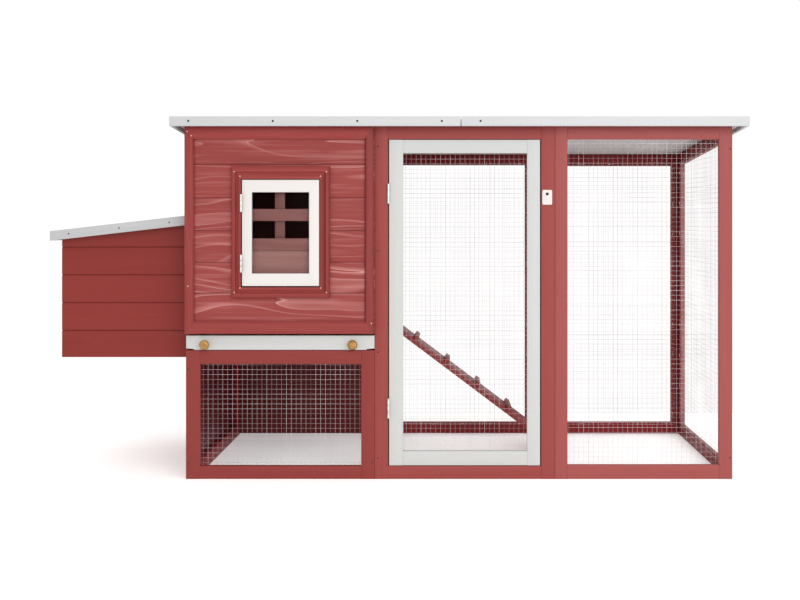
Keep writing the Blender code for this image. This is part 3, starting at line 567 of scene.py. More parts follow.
def sheet(lines_u, lines_v, solid, place, thick):
    """A closed sheet on a grid. place(i, j, depth) gives a point, solid(i, j) says which cells."""
    bm = bmesh.new()
    sides = []
    for depth in (0.0, thick):
        side = {}
        for i in range(len(lines_u)):
            for j in range(len(lines_v)):
                side[i, j] = bm.verts.new(place(i, j, depth))
        sides.append(side)
    near, far = sides
    for i in range(len(lines_u) - 1):
        for j in range(len(lines_v) - 1):
            if not solid(i, j):
                continue
            ring = [(i, j), (i + 1, j), (i + 1, j + 1), (i, j + 1)]
            beside = [(i, j - 1), (i + 1, j), (i, j + 1), (i - 1, j)]
            bm.faces.new([near[key] for key in ring])
            bm.faces.new([far[key] for key in reversed(ring)])
            for k in range(4):
                if not solid(*beside[k]):
                    a = ring[k]
                    b = ring[(k + 1) % 4]
                    bm.faces.new((near[b], near[a], far[a], far[b]))
    loose = [vertex for vertex in bm.verts if not vertex.link_faces]
    bmesh.ops.delete(bm, geom=loose, context="VERTS")
    return bm


# The V-joint between two boards: height from its middle, and depth
GROOVE = (
    (-0.0028, 0.0), (-0.0014, 0.0008), (-0.0008, 0.0034),
    (0.0008, 0.0034), (0.0014, 0.0008), (0.0028, 0.0),
)


def inside(u, v, area):
    slack = 1e-6
    (low_u, high_u), (low_v, high_v) = area
    return low_u - slack <= u <= high_u + slack and low_v - slack <= v <= high_v + slack


def cladding(node, joints, facing, holes=(), top=None, shelter=()):
    """A wall of boards with V-joints. facing gives its ends, and places a point (u, z, depth).

    shelter is three nested rectangles. The wood in the first, behind the pane, is paler
    as a painted reflection of the pane; the wood in the second is as dark as the inside of the
    house, as painted shade round the sash; and from the third on it is plain.
    """
    low, high, place = facing
    box_low, box_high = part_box(node)
    crown = box_high.z
    top = top or (lambda u: crown)
    areas = [*holes, *shelter]
    lines_u = sorted({low, high, *[limit for area in areas for limit in area[0]]})
    # Each line across the wall is its height, its groove's depth and its board's number
    lines_v = [(box_low.z, 0.0, 0)]
    for index, joint in enumerate(joints):
        lines_v += [(joint + offset, depth, index + (offset > 0)) for offset, depth in GROOVE]
    for area in areas:
        lines_v += [(limit, 0.0, sum(joint < limit for joint in joints)) for limit in area[1]]
    lines_v.sort()
    lines_v.append((crown, 0.0, len(joints)))
    last = len(lines_v) - 1
    thick = min((box_high - box_low).xy)
    seeds = [(*grain_seed(), chance.random()) for _ in range(len(joints) + 1)]
    known = {}

    def solid(i, j):
        if not (0 <= i < len(lines_u) - 1 and 0 <= j < last):
            return False
        middle_u = (lines_u[i] + lines_u[i + 1]) / 2
        middle_v = (lines_v[j][0] + lines_v[j + 1][0]) / 2
        return not any(inside(middle_u, middle_v, hole) for hole in holes)

    def put(i, j, depth):
        u = lines_u[i]
        v, groove, index = lines_v[j]
        if j == last:
            v = top(u)
        if shelter and inside(u, v, shelter[1]):
            groove = 0.0
        point = Vector(place(u, v, depth if depth else groove))
        known[point.to_tuple(5)] = (u, v, depth, index)
        return point

    bm = sheet(lines_u, lines_v, solid, put, thick)
    grain, tone, _ = layers(bm)
    within = bm.verts.layers.float.new("within")
    sheltered = bm.verts.layers.float.new("sheltered")
    for vertex in bm.verts:
        u, v, depth, index = known[vertex.co.to_tuple(5)]
        seed = seeds[index]
        vertex[grain] = (u + seed[0], v + seed[1], depth + seed[2])
        vertex[tone] = seed[3]
        # Painted shade on the inner face and round the sash, and a painted reflection on the wood behind
        # the pane
        vertex[within] = 1.0 if depth else 0.0
        if shelter and not depth and inside(u, v, shelter[1]):
            behind_pane = inside(u, v, shelter[0])
            vertex[sheltered if behind_pane else within] = 1.0
    return bm


def along_x(node, outward):
    """Places points on a wall that runs along X, from its outer face."""
    low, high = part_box(node)
    face = low.y if outward < 0 else high.y
    return low.x, high.x, lambda u, v, depth: (u, face - outward * depth, v)


def along_y(node, outward):
    """Places points on a wall that runs along Y, from its outer face."""
    low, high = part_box(node)
    face = low.x if outward < 0 else high.x
    return low.y, high.y, lambda u, v, depth: (face - outward * depth, u, v)


def wall_joints(low, high):
    """Heights of the joints between the boards of a wall."""
    least = 0.005
    count = int((high - FIRST_JOINT) / BOARD_PITCH) + 1
    heights = [FIRST_JOINT + k * BOARD_PITCH for k in range(count)]
    return [height for height in heights if low + least < height < high - least]


def sloping(node, rate=ROOF_SLOPE, along=1):
    """The height of a node's sloping top, which is highest at the low end for a falling rate."""
    low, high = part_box(node)
    start = low[along] if rate > 0 else high[along]
    return lambda u: high.z - rate * (u - start)


def rectangle(u, v):
    return [(u[0], v[0]), (u[1], v[0]), (u[1], v[1]), (u[0], v[1])]


def mitred(outer, inner, section, side_shades=(0.5, 0.5, 0.5, 0.5)):
    """Four strips with mitred ends, facing the front.

    The section lists how far in from the outer edge, and Y. The side_shades are the tones of the
    bottom, right, top and left strips, which paint light and shade on each side.
    """
    parts = []
    for k in range(4):
        after = (k + 1) % 4
        start_out, end_out = Vector(outer[k]), Vector(outer[after])
        start_in, end_in = Vector(inner[k]), Vector(inner[after])
        run = (end_out - start_out).normalized()
        bm = bmesh.new()
        grain, tone, _ = layers(bm)
        seed = Vector((chance.uniform(0, 40), chance.uniform(0, 4), 0))
        ends = []
        for begin, inward_end, sign in ((start_out, start_in, 1), (end_out, end_in, -1)):
            ring = []
            for inward, depth in section:
                flat = begin + (inward_end - begin) * inward + run * JOINT * sign
                vertex = bm.verts.new((flat.x, depth, flat.y))
                across = inward * (start_in - start_out).length
                vertex[grain] = seed + Vector((flat.dot(run), across, depth))
                vertex[tone] = side_shades[k]
                ring.append(vertex)
            ends.append(ring)
        skin(bm, ends)
        parts.append(bm)
    return merge(parts)


def turned(profile, sides, place, smooth_grain=False):
    """A solid of revolution about its own Z, put in place by a matrix."""
    bm = bmesh.new()
    grain = layers(bm)[0]
    rings = []
    for radius, height in profile:
        count = sides if radius > 0 else 1
        ring = []
        for k in range(count):
            turn = 2 * math.pi * k / sides
            point = Vector((radius * math.cos(turn), radius * math.sin(turn), height))
            vertex = bm.verts.new(place @ point)
            vertex[grain] = (0.0, 0.0, radius) if smooth_grain else point
            ring.append(vertex)
        rings.append(ring)
    pairs = list(zip(rings, rings[1:]))
    if profile[0][0] > 0:
        pairs.append((rings[-1], rings[0]))
    for low, high in pairs:
        for k in range(sides):
            j = (k + 1) % sides
            corners = [low[k % len(low)], low[j % len(low)]]
            corners += [high[j % len(high)], high[k % len(high)]]
            bm.faces.new(list(dict.fromkeys(corners)))
    return bm


def pointing(place, direction):
    """A matrix that puts local Z along a direction."""
    turn = Vector(direction).to_track_quat("Z", "Y").to_matrix().to_4x4()
    return Matrix.Translation(Vector(place)) @ turn


def screw_head(place, direction, radius, slot_turn):
    """A sunk screw head with a cross recess."""
    set_in = pointing(place, direction) @ Matrix.Rotation(slot_turn, 4, "Z")
    height = 0.22 * radius
    profile = [(0, -0.0002), (radius, -0.0002), (radius, 0.5 * height), (0.82 * radius, height)]
    profile += [(0.30 * radius, height), (0.16 * radius, 0.1 * height), (0, 0.05 * height)]
    return turned(profile, 14, set_in)


def nail_head(place, direction, radius):
    profile = [(0, -0.0002), (radius, -0.0002), (0.92 * radius, 0.0003), (0, 0.00045)]
    return turned(profile, 10, pointing(place, direction))


HEADS = {
    "screw": (DARK_SCREW, ZINC),
    "nail": (DARK_SCREW, ZINC),
    "pin": (NAIL, ZINC),
    "clout": (WIRE, STEEL),
    "bright nail": (WIRE, ZINC),
}


def fasteners(name, node, places, direction, kind, radius):
    """Several screw or nail heads on one body, as one piece."""
    material, slot = HEADS[kind]
    parts = []
    for place in places:
        turn = chance.uniform(0, math.pi)
        if kind == "screw":
            parts.append(screw_head(place, direction, radius, turn))
        else:
            parts.append(nail_head(place, direction, radius))
    to_piece(name, merge(parts), material, node)


def spread_out(start, end, count):
    return [start + (end - start) * k / (count - 1) for k in range(count)]


# ---------------------------------------------------------------- wire mesh
def wire(points, radius, sides=6):
    """A thin rod through points that nearly lie on one line."""
    bm = bmesh.new()
    tone = layers(bm)[1]
    brightness = chance.random()
    run = (points[-1] - points[0]).normalized()
    side = run.cross(Vector((0.3, 0.7, 0.2))).normalized()
    other = run.cross(side)
    rings = []
    for point in points:
        ring = []
        for k in range(sides):
            turn = 2 * math.pi * k / sides
            offset = side * math.cos(turn) + other * math.sin(turn)
            vertex = bm.verts.new(point + offset * radius)
            vertex[tone] = brightness
            ring.append(vertex)
        rings.append(ring)
    skin(bm, rings)
    return bm


def wire_panel(node, side_on=False, top=None, inward=1):
    """Welded mesh in the place of a CAD grille: upright wires on one side, level ones on the other."""
    low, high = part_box(node)
    along, across = (1, 0) if side_on else (0, 1)
    middle = (low[across] + high[across]) / 2
    start, end = low[along], high[along]
    crown = top or (lambda u: high.z)
    gap = 0.001  # between a wire's end and the panel's edge
    clear = 0.002  # between the last wire and the panel's edge
    shift = 0.9 * WIRE_R * inward

    def run(first, second, depth, upright):
        """Points along a wire that wanders by a fraction of a millimetre."""
        count = max(3, round(math.dist(first, second) / 0.09))
        points = []
        for k in range(count + 1):
            share = k / count
            u = first[0] + (second[0] - first[0]) * share
            v = first[1] + (second[1] - first[1]) * share
            drift = chance.uniform(-0.00018, 0.00018) if 0 < k < count else 0
            u, v = (u + drift, v) if upright else (u, v + drift)
            out = depth + chance.uniform(-0.0001, 0.0001)
            points.append(Vector((out, u, v) if side_on else (u, out, v)))
        return points

    parts = []
    count = int((end - start - clear) / WIRE_PITCH)
    margin = (end - start - count * WIRE_PITCH) / 2
    for k in range(count + 1):
        u = start + margin + k * WIRE_PITCH
        places = run((u, low.z + gap), (u, crown(u) - gap), middle - shift, True)
        parts.append(wire(places, WIRE_R))
    v = low.z + 0.004
    while v < crown(start) - clear:
        reach = end
        if top and crown(end) < v + clear:
            reach = start + (end - start) * (crown(start) - v - clear) / (crown(start) - crown(end))
        if reach > start + 0.02:
            places = run((start + gap, v), (reach - gap, v), middle + shift, False)
            parts.append(wire(places, WIRE_R))
        v += WIRE_PITCH
    stands_for(node + "_wires", merge(parts), WIRE, node, smooth=60)


def staples(node, side_on=False, top=None, facing=1.0):
    """Wire staples that hold a mesh panel to its frame, along its four edges."""
    low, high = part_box(node)
    along, across = (1, 0) if side_on else (0, 1)
    outer = high[across] if facing > 0 else low[across]
    depth = outer + facing * 0.0003
    leg = (X if side_on else Y) * facing
    crown = top or (lambda u: high.z)
    inset = 0.0065
    places = []
    count = max(2, round((high[along] - low[along]) / 0.09))
    for u in spread_out(low[along] + 0.03, high[along] - 0.03, count):
        places += [(u, low.z + inset, True), (u, crown(u) - inset, True)]
    count = max(2, round((high.z - low.z) / 0.10))
    for v in spread_out(low.z + 0.04, crown(high[along]) - 0.04, count):
        places += [(low[along] + inset, v, False), (high[along] - inset, v, False)]
    parts = []
    for u, v, level in places:
        lean = chance.uniform(-0.0008, 0.0008)
        reach = Vector((0.0045, lean)) if level else Vector((lean, 0.0045))
        crests = []
        feet = []
        for sign in (-1, 1):
            flat = Vector((u, v)) + reach * sign
            place = Vector((depth, flat.x, flat.y) if side_on else (flat.x, depth, flat.y))
            crests.append(place + leg * 0.0002)
            feet.append(place - leg * 0.0014)
        for path in ((feet[0], crests[0]), crests, (crests[1], feet[1])):
            parts.append(wire(path, STAPLE_R, 5))
    to_piece(node + "_staples", merge(parts), WIRE, node, smooth=60)


# ---------------------------------------------------------------- flat frames
def show_frame(node, parts, material, inner):
    """Shows a frame's members, with painted shade on their half towards inner, the coop's inside."""
    bm = merge(parts)
    if inner:
        low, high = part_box(node)
        middle = (low + high) / 2
        within = bm.verts.layers.float.new("within")
        for vertex in bm.verts:
            vertex[within] = 1.0 if (vertex.co - middle).dot(inner) > 0 else 0.0
    stands_for(node + "_boards", bm, material, node)


def flat_frame(node, material, widths=(STOCK,) * 4, inner=None):
    """Two stiles and two rails in the place of a CAD frame. widths: left, right, bottom, top."""
    low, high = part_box(node)
    left, right, bottom, top = widths
    start, end = low.x + left + JOINT, high.x - right - JOINT
    members = (
        (low, Vector((low.x + left, high.y, high.z)), "z"),
        (Vector((high.x - right, low.y, low.z)), high, "z"),
        (Vector((start, low.y, low.z)), Vector((end, high.y, low.z + bottom)), "x"),
        (Vector((start, low.y, high.z - top)), Vector((end, high.y, high.z)), "x"),
    )
    parts = [plank(*member, square=True) for member in members]
    show_frame(node, parts, material, inner)


def sloped_frame(node, material, inner=None):
    """The frame of a side wall, with its top rail on the roof's slope."""
    low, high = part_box(node)
    crown = Vector((low.x, low.y, high.z))
    parts = []
    for y in (low.y, high.y - STOCK):
        end = Vector((high.x, y + STOCK, high.z + 0.01))
        parts.append(plank(Vector((low.x, y, low.z)), end, "z", cuts=[(crown, ROOF_UP)]))
    near, far = low.y + STOCK + JOINT, high.y - STOCK - JOINT
    parts.append(plank(Vector((low.x, near, low.z)), Vector((high.x, far, low.z + STOCK)), "y"))
    middle = (low + high) / 2
    middle.z = crown.z - ROOF_SLOPE * (middle.y - low.y) - STOCK / 2
    along = ROOF_ALONG * (far - near + 0.02) * ROOF_STRETCH
    cuts = [(Vector((0, near, 0)), -Y), (Vector((0, far, 0)), Y)]
    parts.append(board(along, ROOF_UP * (STOCK / ROOF_STRETCH), X * (high.x - low.x), middle, cuts))
    show_frame(node, parts, material, inner)


# ---------------------------------------------------------------- hinges
LEAF_START = 0.0034  # from the pin's middle to the leaf
LEAF_CORNER = 0.003
KNUCKLE_R = 0.003
KNUCKLE_RIM = 0.0003
PIN_R = 0.0012
BORE_R = 0.0016


def hinge_half(node, length, width, offset, tab, moving, placing, screws=(), face=1):
    """One half of a butt hinge, finer than the CAD half it stands for.

    offset is where the leaf's two sides lie, and tab is how near its tongues come to the pin.
    """
    leaf = bmesh.new()
    layers(leaf)
    reach = width - LEAF_CORNER
    outline = [(LEAF_START, 0.0)]
    outline += quarter(reach, LEAF_CORNER, LEAF_CORNER, -90, 5)
    outline += quarter(reach, length - LEAF_CORNER, LEAF_CORNER, 0, 5)
    outline.append((LEAF_START, length))
    near, far = [[leaf.verts.new((x, out, up)) for out, up in outline] for x in offset]
    skin(leaf, [far, near])
    parts = [leaf]
    bore = BORE_R if moving else 0.0
    for low, high in [(0.34, 0.66)] if moving else [(0.0, 0.32), (0.68, 1.0)]:
        foot, head = low * length, high * length
        middle = Vector((sum(offset) / 2, (LEAF_START + tab) / 2 + 0.0002, (foot + head) / 2))
        size = (Z * (head - foot), Y * (LEAF_START - tab + 0.0004), X * (offset[1] - offset[0]))
        parts.append(board(*size, middle, ease=0.0001, segments=1))
        profile = [(bore, foot), (KNUCKLE_R - KNUCKLE_RIM, foot), (KNUCKLE_R, foot + KNUCKLE_RIM)]
        profile += [(KNUCKLE_R, head - KNUCKLE_RIM), (KNUCKLE_R - KNUCKLE_RIM, head), (bore, head)]
        parts.append(turned(profile, 28, Matrix.Identity(4)))
    if not moving:
        foot, head = 0.3 * length, 0.7 * length
        profile = [(0, foot), (PIN_R, foot), (PIN_R, head), (0, head)]
        parts.append(turned(profile, 18, Matrix.Identity(4)))
    direction = (1 if face > 0 else -1, 0, 0)
    for out, up in screws:
        parts.append(screw_head((face, out, up), direction, 0.0021, chance.uniform(0, 3)))
    bm = merge(parts)
    bmesh.ops.transform(bm, matrix=placing, verts=bm.verts)
    stands_for(node + "_steel", bm, HINGE, node)


def oriented(point, axis, leaf):
    """Local Z along the pin, local Y out along the leaf."""
    up = Vector(axis).normalized()
    out = Vector(leaf).normalized()
    turn = Matrix((out.cross(up), out, up)).transposed().to_4x4()
    return Matrix.Translation(Vector(point)) @ turn


def joint_point(name):
    for joint in frame["joints"]:
        if joint["name"] == name:
            return Vector(joint["pos_m"])
    raise ValueError(name)


def edge_hinges(kind, length, width):
    """The hinges of the door or the window, with their leaves in the gap beside it."""
    pivot = joint_point(kind + "_hinge")
    tab = 0.0022
    for place in ("upper", "lower"):
        fixed = f"{kind}_hinge_fixed_{place}"
        moving = f"{kind}_hinge_leaf_{place}"
        placing = oriented((pivot.x, pivot.y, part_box(fixed)[0].z), Z, Y)
        hinge_half(fixed, length, width, (-0.0012, -0.0002), tab, False, placing)
        hinge_half(moving, length, width, (0.0002, 0.0012), tab, True, placing)


def lid_hinges():
    pivot = joint_point("lid_hinge")
    length, width, tab, face = 0.060, 0.025, 0.0004, 0.0020
    down = (-math.cos(LID_ANGLE), 0, -math.sin(LID_ANGLE))
    spots = [(0.015, 0.011), (0.015, 0.049)]
    for place in ("front", "back"):
        fixed = "lid_hinge_fixed_" + place
        moving = "lid_hinge_leaf_" + place
        foot = (pivot.x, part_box(fixed)[0].y, pivot.z)
        wall_side = oriented(foot, Y, Z)
        lid_side = oriented(foot, Y, down)
        hinge_half(fixed, length, width, (-0.0030, -face), tab, False, wall_side, spots, -face)
        hinge_half(moving, length, width, (face, 0.0030), tab, True, lid_side, spots, face)


# ---------------------------------------------------------------- the pieces
# Profiles of the mitred strips: share of the way in from the outer edge, and depth from the face
MOULDING_PROFILE = (
    (0.0, 0.0022), (0.02, 0.0008), (0.06, 0.0001), (0.70, 0.0), (0.76, 0.0004),
    (0.82, 0.0014), (0.90, 0.0034), (0.96, 0.0054), (1.0, 0.0064),
)
CASING_PROFILE = (
    (0.0, 0.0066), (0.04, 0.0046), (0.14, 0.0026), (0.24, 0.0008), (0.32, 0.0),
    (0.40, 0.0002), (0.45, 0.0024), (0.50, 0.0050), (0.58, 0.0056), (0.66, 0.0044),
    (0.72, 0.0012), (0.86, 0.0), (0.96, 0.0002), (1.0, 0.0010),
)
SASH_PROFILE = (
    (0.0, 0.0016), (0.02, 0.0005), (0.06, 0.0), (0.93, 0.0), (0.975, 0.0006), (1.0, 0.0018),
)
# The tray's knob, from its foot: radius and height
KNOB_PROFILE = (
    (0, 0.0), (0.0085, 0.0), (0.0088, 0.0006), (0.0082, 0.0014), (0.0068, 0.0026),
    (0.0061, 0.0046), (0.0063, 0.0070), (0.0082, 0.0096), (0.0116, 0.0118),
    (0.0136, 0.0138), (0.0140, 0.0156), (0.0138, 0.0172), (0.0130, 0.0188),
    (0.0118, 0.0200), (0.0106, 0.0206), (0.0098, 0.0205), (0.0092, 0.0209),
    (0.0060, 0.0218), (0, 0.0222),
)
NEST_HOLE = ((-0.2, 0.2), (0.42, 0.64))
POP_HOLE = ((-0.02, 0.18), (0.419, 0.70))


def area(node, margin_x, margin_z):
    """The limits of a node along X and Z, taken in by a margin."""
    low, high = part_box(node)
    return (low.x + margin_x, high.x - margin_x), (low.z + margin_z, high.z - margin_z)


def inset(node, left, right, bottom, top):
    """A node's outline from the front, taken in on each side."""
    low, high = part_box(node)
    return rectangle((low.x + left, high.x - right), (low.z + bottom, high.z - top))


def strips(node, inner, profile, material, side_shades=(0.5, 0.5, 0.5, 0.5), back=None):
    """Four mitred strips in the place of a CAD node. back replaces their square back."""
    low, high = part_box(node)
    section = [(inward, low.y + depth) for inward, depth in profile]
    section += back or [(1.0, high.y), (0.0, high.y)]
    bm = mitred(inset(node, 0, 0, 0, 0), inner, section, side_shades)
    stands_for(node + "_strips", bm, material, node, smooth=50)


def near_corners(node, offsets):
    """Places on a node's front, so far in from each corner along X and Z."""
    low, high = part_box(node)
    places = []
    for x_edge, x_sign in ((low.x, 1), (high.x, -1)):
        for z_edge, z_sign in ((low.z, 1), (high.z, -1)):
            places += [(x_edge + x_sign * x, low.y, z_edge + z_sign * z) for x, z in offsets]
    return places


def house_front():
    node = "house_front_panel"
    margins = (("window_pane", -0.004), ("window_sash", -0.004), ("window_casing", 0.002))
    # The wood behind the pane gets a painted reflection, and the wood round the sash painted shade
    shelter = [area(name, margin, margin) for name, margin in margins]
    hole = (area("window_slat_upper", 0.012, 0)[0], area("window_mullion", 0, 0.015)[1])
    wall = cladding(node, HOUSE_JOINTS, along_x(node, -1), holes=[hole], shelter=shelter)
    stands_for("house_front_boards", wall, HOUSE_RED, node)

    node = "house_front_moulding"
    inner = inset(node, *MOULDING_WIDTHS)
    # The right strips are darker as painted shade, and the top lighter as painted light
    strips(node, inner, MOULDING_PROFILE, TRIM_RED, (0.6, 0.0, 1.0, 0.6))
    inner = inset("window_sash", *[-gap for gap in SASH_GAPS])
    strips("window_casing", inner, CASING_PROFILE, TRIM_RED, (0.6, 0.1, 0.8, 0.7))
    for node, run in (("window_slat_upper", "x"), ("window_slat_lower", "x"), ("window_mullion", "z")):
        plain_board(node, run, SLAT_REFLECTION_RED)


def window():
    node = "window_sash"
    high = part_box(node)[1]
    pane_low, pane_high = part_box("window_pane")
    lap = 0.004
    side = lap - 0.0006
    rebate = pane_low.y - 0.0003
    step = 1.0 - lap / SASH_MEMBER
    back = [(1.0, rebate), (step, rebate), (step, high.y), (0.0, high.y)]
    inner = inset("window_pane", side, side, lap, lap)
    strips(node, inner, SASH_PROFILE, SASH_WHITE, back=back)
    pane = plank(pane_low, pane_high, "z", ease=0.0002)
    stands_for("window_pane_sheet", pane, PANE, "window_pane")
    places = near_corners(node, ((0.006, 0.012), (0.013, 0.006)))
    fasteners("window_sash_nails", node, places, -Y, "pin", 0.0012)


def slat_nails():
    spot = ((0.007, 0.007),)
    places = near_corners("window_slat_upper", spot) + near_corners("window_slat_lower", spot)
    fasteners("window_slat_nails", "window_slat_upper", places, -Y, "nail", 0.0013)


def tray_front():
    """The tray's front board, with a step at each lower corner."""
    node = "tray_front"
    low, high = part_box(node)
    left, right, lift = low.x + 0.022, high.x - 0.022, low.z + 0.0035
    outline = [(left, low.z), (right, low.z), (right, lift), (high.x, lift)]
    outline += [(high.x, high.z), (low.x, high.z), (low.x, lift), (left, lift)]
    bm = bmesh.new()
    grain, tone, _ = layers(bm)
    near, far = [[bm.verts.new((x, y, z)) for x, z in outline] for y in (low.y, high.y)]
    skin(bm, [far, near])
    edges = list(bm.edges)
    bmesh.ops.bevel(bm, geom=edges, offset=0.8 * EASE, segments=2, profile=0.5, affect="EDGES")
    for vertex in bm.verts:
        vertex[grain] = (vertex.co.x + 7.0, vertex.co.z, vertex.co.y)
        vertex[tone] = 0.6
    stands_for("tray_front_board", bm, WHITE_PAINT, node)


def tray_pan():
    node = "tray_pan"
    low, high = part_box(node)
    wall, lip, corner, bend = 0.0012, 0.002, 0.006, 0.003
    # How far in each ring lies, and its height: up the outside, over the lip, down the inside
    levels = [(bend, low.z), (0.0, low.z + corner), (0.0, high.z - 0.0015), (0.0006, high.z)]
    levels += [(lip, high.z), (lip, high.z - 0.001), (wall, high.z - 0.0015)]
    levels += [(wall, low.z + corner), (wall + bend, low.z + wall)]
    bm = bmesh.new()
    layers(bm)
    rings = []
    for far_in, height in levels:
        first, last = low + (X + Y) * far_in, high - (X + Y) * far_in
        outline = rounded(first.x, last.x, first.y, last.y, corner, 5)
        rings.append([bm.verts.new((x, y, height)) for x, y in outline])
    skin(bm, rings)
    stands_for("tray_pan_sheet", bm, PAN, node, smooth=50)


def tray():
    tray_front()
    tray_pan()
    for side in ("left", "right"):
        node = "tray_knob_" + side
        low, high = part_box(node)
        foot = Vector(((low.x + high.x) / 2, high.y, (low.z + high.z) / 2))
        knob = turned(KNOB_PROFILE, 56, pointing(foot, -Y), smooth_grain=True)
        stands_for(node + "_turned", knob, KNOB, node, smooth=60)
    for side in ("left", "right"):
        plain_board("tray_runner_" + side, "y", SHADED_INNER_RED)


def walls():
    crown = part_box("back_wall")[1].z
    joints = wall_joints(0, crown)
    node = "back_wall"
    wall = cladding(node, joints, along_x(node, 1))
    stands_for("back_wall_boards", wall, FRAME_RED, node)
    node = "left_wall"
    wall = cladding(node, joints, along_y(node, -1), holes=[NEST_HOLE], top=sloping(node))
    stands_for("left_wall_boards", wall, FRAME_RED, node)
    sloped_frame("left_wall_frame", SHADED_INNER_RED)
    node = "partition_wall"
    joints = wall_joints(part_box(node)[0].z, crown)
    wall = cladding(node, joints, along_y(node, 1), holes=[POP_HOLE], top=sloping(node))
    stands_for("partition_boards", wall, SHADED_INNER_RED, node)


def frames():
    flat_frame("lower_front_frame", FRAME_RED, LOWER_WIDTHS)
    wire_panel("lower_front_mesh", inward=-1)
    staples("lower_front_mesh")
    flat_frame("door_bay_frame", BAY_LIT_RED, DOOR_BAY_WIDTHS)
    flat_frame("right_front_frame", RIGHT_LIT_RED, RIGHT_WIDTHS)
    wire_panel("right_front_mesh", inward=-1)
    staples("right_front_mesh")
    flat_frame("back_middle_frame", RUN_RED, BACK_MIDDLE_WIDTHS, inner=-Y)
    flat_frame("back_right_frame", RUN_RED, inner=-Y)
    for node in ("back_middle_mesh", "back_right_mesh"):
        wire_panel(node)
        staples(node, facing=-1.0)
    sloped_frame("right_side_frame", RUN_RED, inner=-X)
    top = sloping("right_side_mesh")
    wire_panel("right_side_mesh", side_on=True, top=top)
    staples("right_side_mesh", side_on=True, top=top, facing=-1.0)


def door():
    flat_frame("door_frame", WHITE_PAINT, DOOR_WIDTHS)
    wire_panel("door_mesh", inward=-1)
    staples("door_mesh")


def door_stops():
    """Thin strips behind the frame that the door shuts against. They close the gaps beside it."""
    low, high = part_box("door_frame")
    near, far = high.y + 0.0005, high.y + 0.0065
    lap = 0.004
    reach = 0.010
    parts = []
    for left, right in ((low.x - reach, low.x + lap), (high.x - lap, high.x + reach)):
        first = Vector((left, near, low.z - reach))
        parts.append(plank(first, Vector((right, far, high.z + reach)), "z"))
    first = Vector((low.x + lap + JOINT, near, high.z - lap))
    parts.append(plank(first, Vector((high.x - lap - JOINT, far, high.z + reach)), "x"))
    # Their shaded red darkens the gaps beside the door as painted shade
    to_piece("door_stops", merge(parts), SHADED_INNER_RED, "door_bay_frame")


def turn_button():
    node = "door_button"
    low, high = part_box(node)
    pivot = joint_point("button_turn")
    width = (high.x - low.x) / 2
    corner, ease, hole_r = 0.004, 0.0004, 0.0026
    outline = rounded(-width, width, low.z - pivot.z, high.z - pivot.z, corner, 6)
    bm = bmesh.new()
    layers(bm)

    def ring(points, depth):
        return [bm.verts.new((pivot.x + x, depth, pivot.z + z)) for x, z in points]

    rings = []
    for inward, depth in ((ease, low.y), (0.0, low.y + ease), (0.0, high.y - ease), (ease, high.y)):
        shrink = 1 - inward / width
        rings.append(ring([(x * shrink, z * shrink) for x, z in outline], depth))
    turns = [2 * math.pi * (k + 0.5) / len(outline) for k in range(len(outline))]
    hole = [(hole_r * math.cos(turn), hole_r * math.sin(turn)) for turn in turns]
    order = [ring(hole, low.y), *rings, ring(hole, high.y)]
    for first, second in zip(order, order[1:] + order[:1]):
        bridge(bm, first, second)
    stands_for("door_button_plate", bm, PLATE, node, smooth=50)

    node = "door_button_screw"
    low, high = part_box(node)
    radius = (high.x - low.x) / 2
    profile = [(0, 0.0003), (0.0021, 0.0003), (0.0021, 0.0035), (radius, 0.0035), (radius, 0.0041)]
    profile += [(0.86 * radius, 0.0051), (0.5 * radius, 0.0058), (0.3 * radius, 0.0058)]
    profile += [(0.2 * radius, 0.0046), (0, 0.0044)]
    screw = turned(profile, 28, pointing(pivot, -Y))
    stands_for("door_button_screw_turned", screw, DARK_SCREW, node)


def covered_board(node, along, across, up, thick, cuts=()):
    """A board with felt on it, as two pieces for one CAD node."""
    low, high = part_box(node)
    centre = (low + high) / 2
    bare = thick - FELT_THICK
    ply = board(along, across, up * bare, centre - up * FELT_THICK / 2, cuts)
    stands_for(node + "_ply", ply, CEILING_GREY, node)
    felt = board(along, across, up * (FELT_THICK - 0.0001), centre + up * bare / 2, cuts, 0.0008)
    to_piece(node + "_felt", felt, FELT, node)


def roof_board(node):
    low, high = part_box(node)
    deep = high.y - low.y
    thick = (high.z - low.z - ROOF_SLOPE * deep) / ROOF_STRETCH
    along = ROOF_ALONG * deep * ROOF_STRETCH
    covered_board(node, along, X * (high.x - low.x), ROOF_UP, thick)
    top = sloping(node)
    ends = (low.y + 0.015, high.y - 0.015)
    heads = [(x, y, top(y)) for x in spread_out(low.x + 0.02, high.x - 0.02, 8) for y in ends]
    fasteners(node + "_clouts", node, heads, ROOF_UP, "clout", 0.0035)


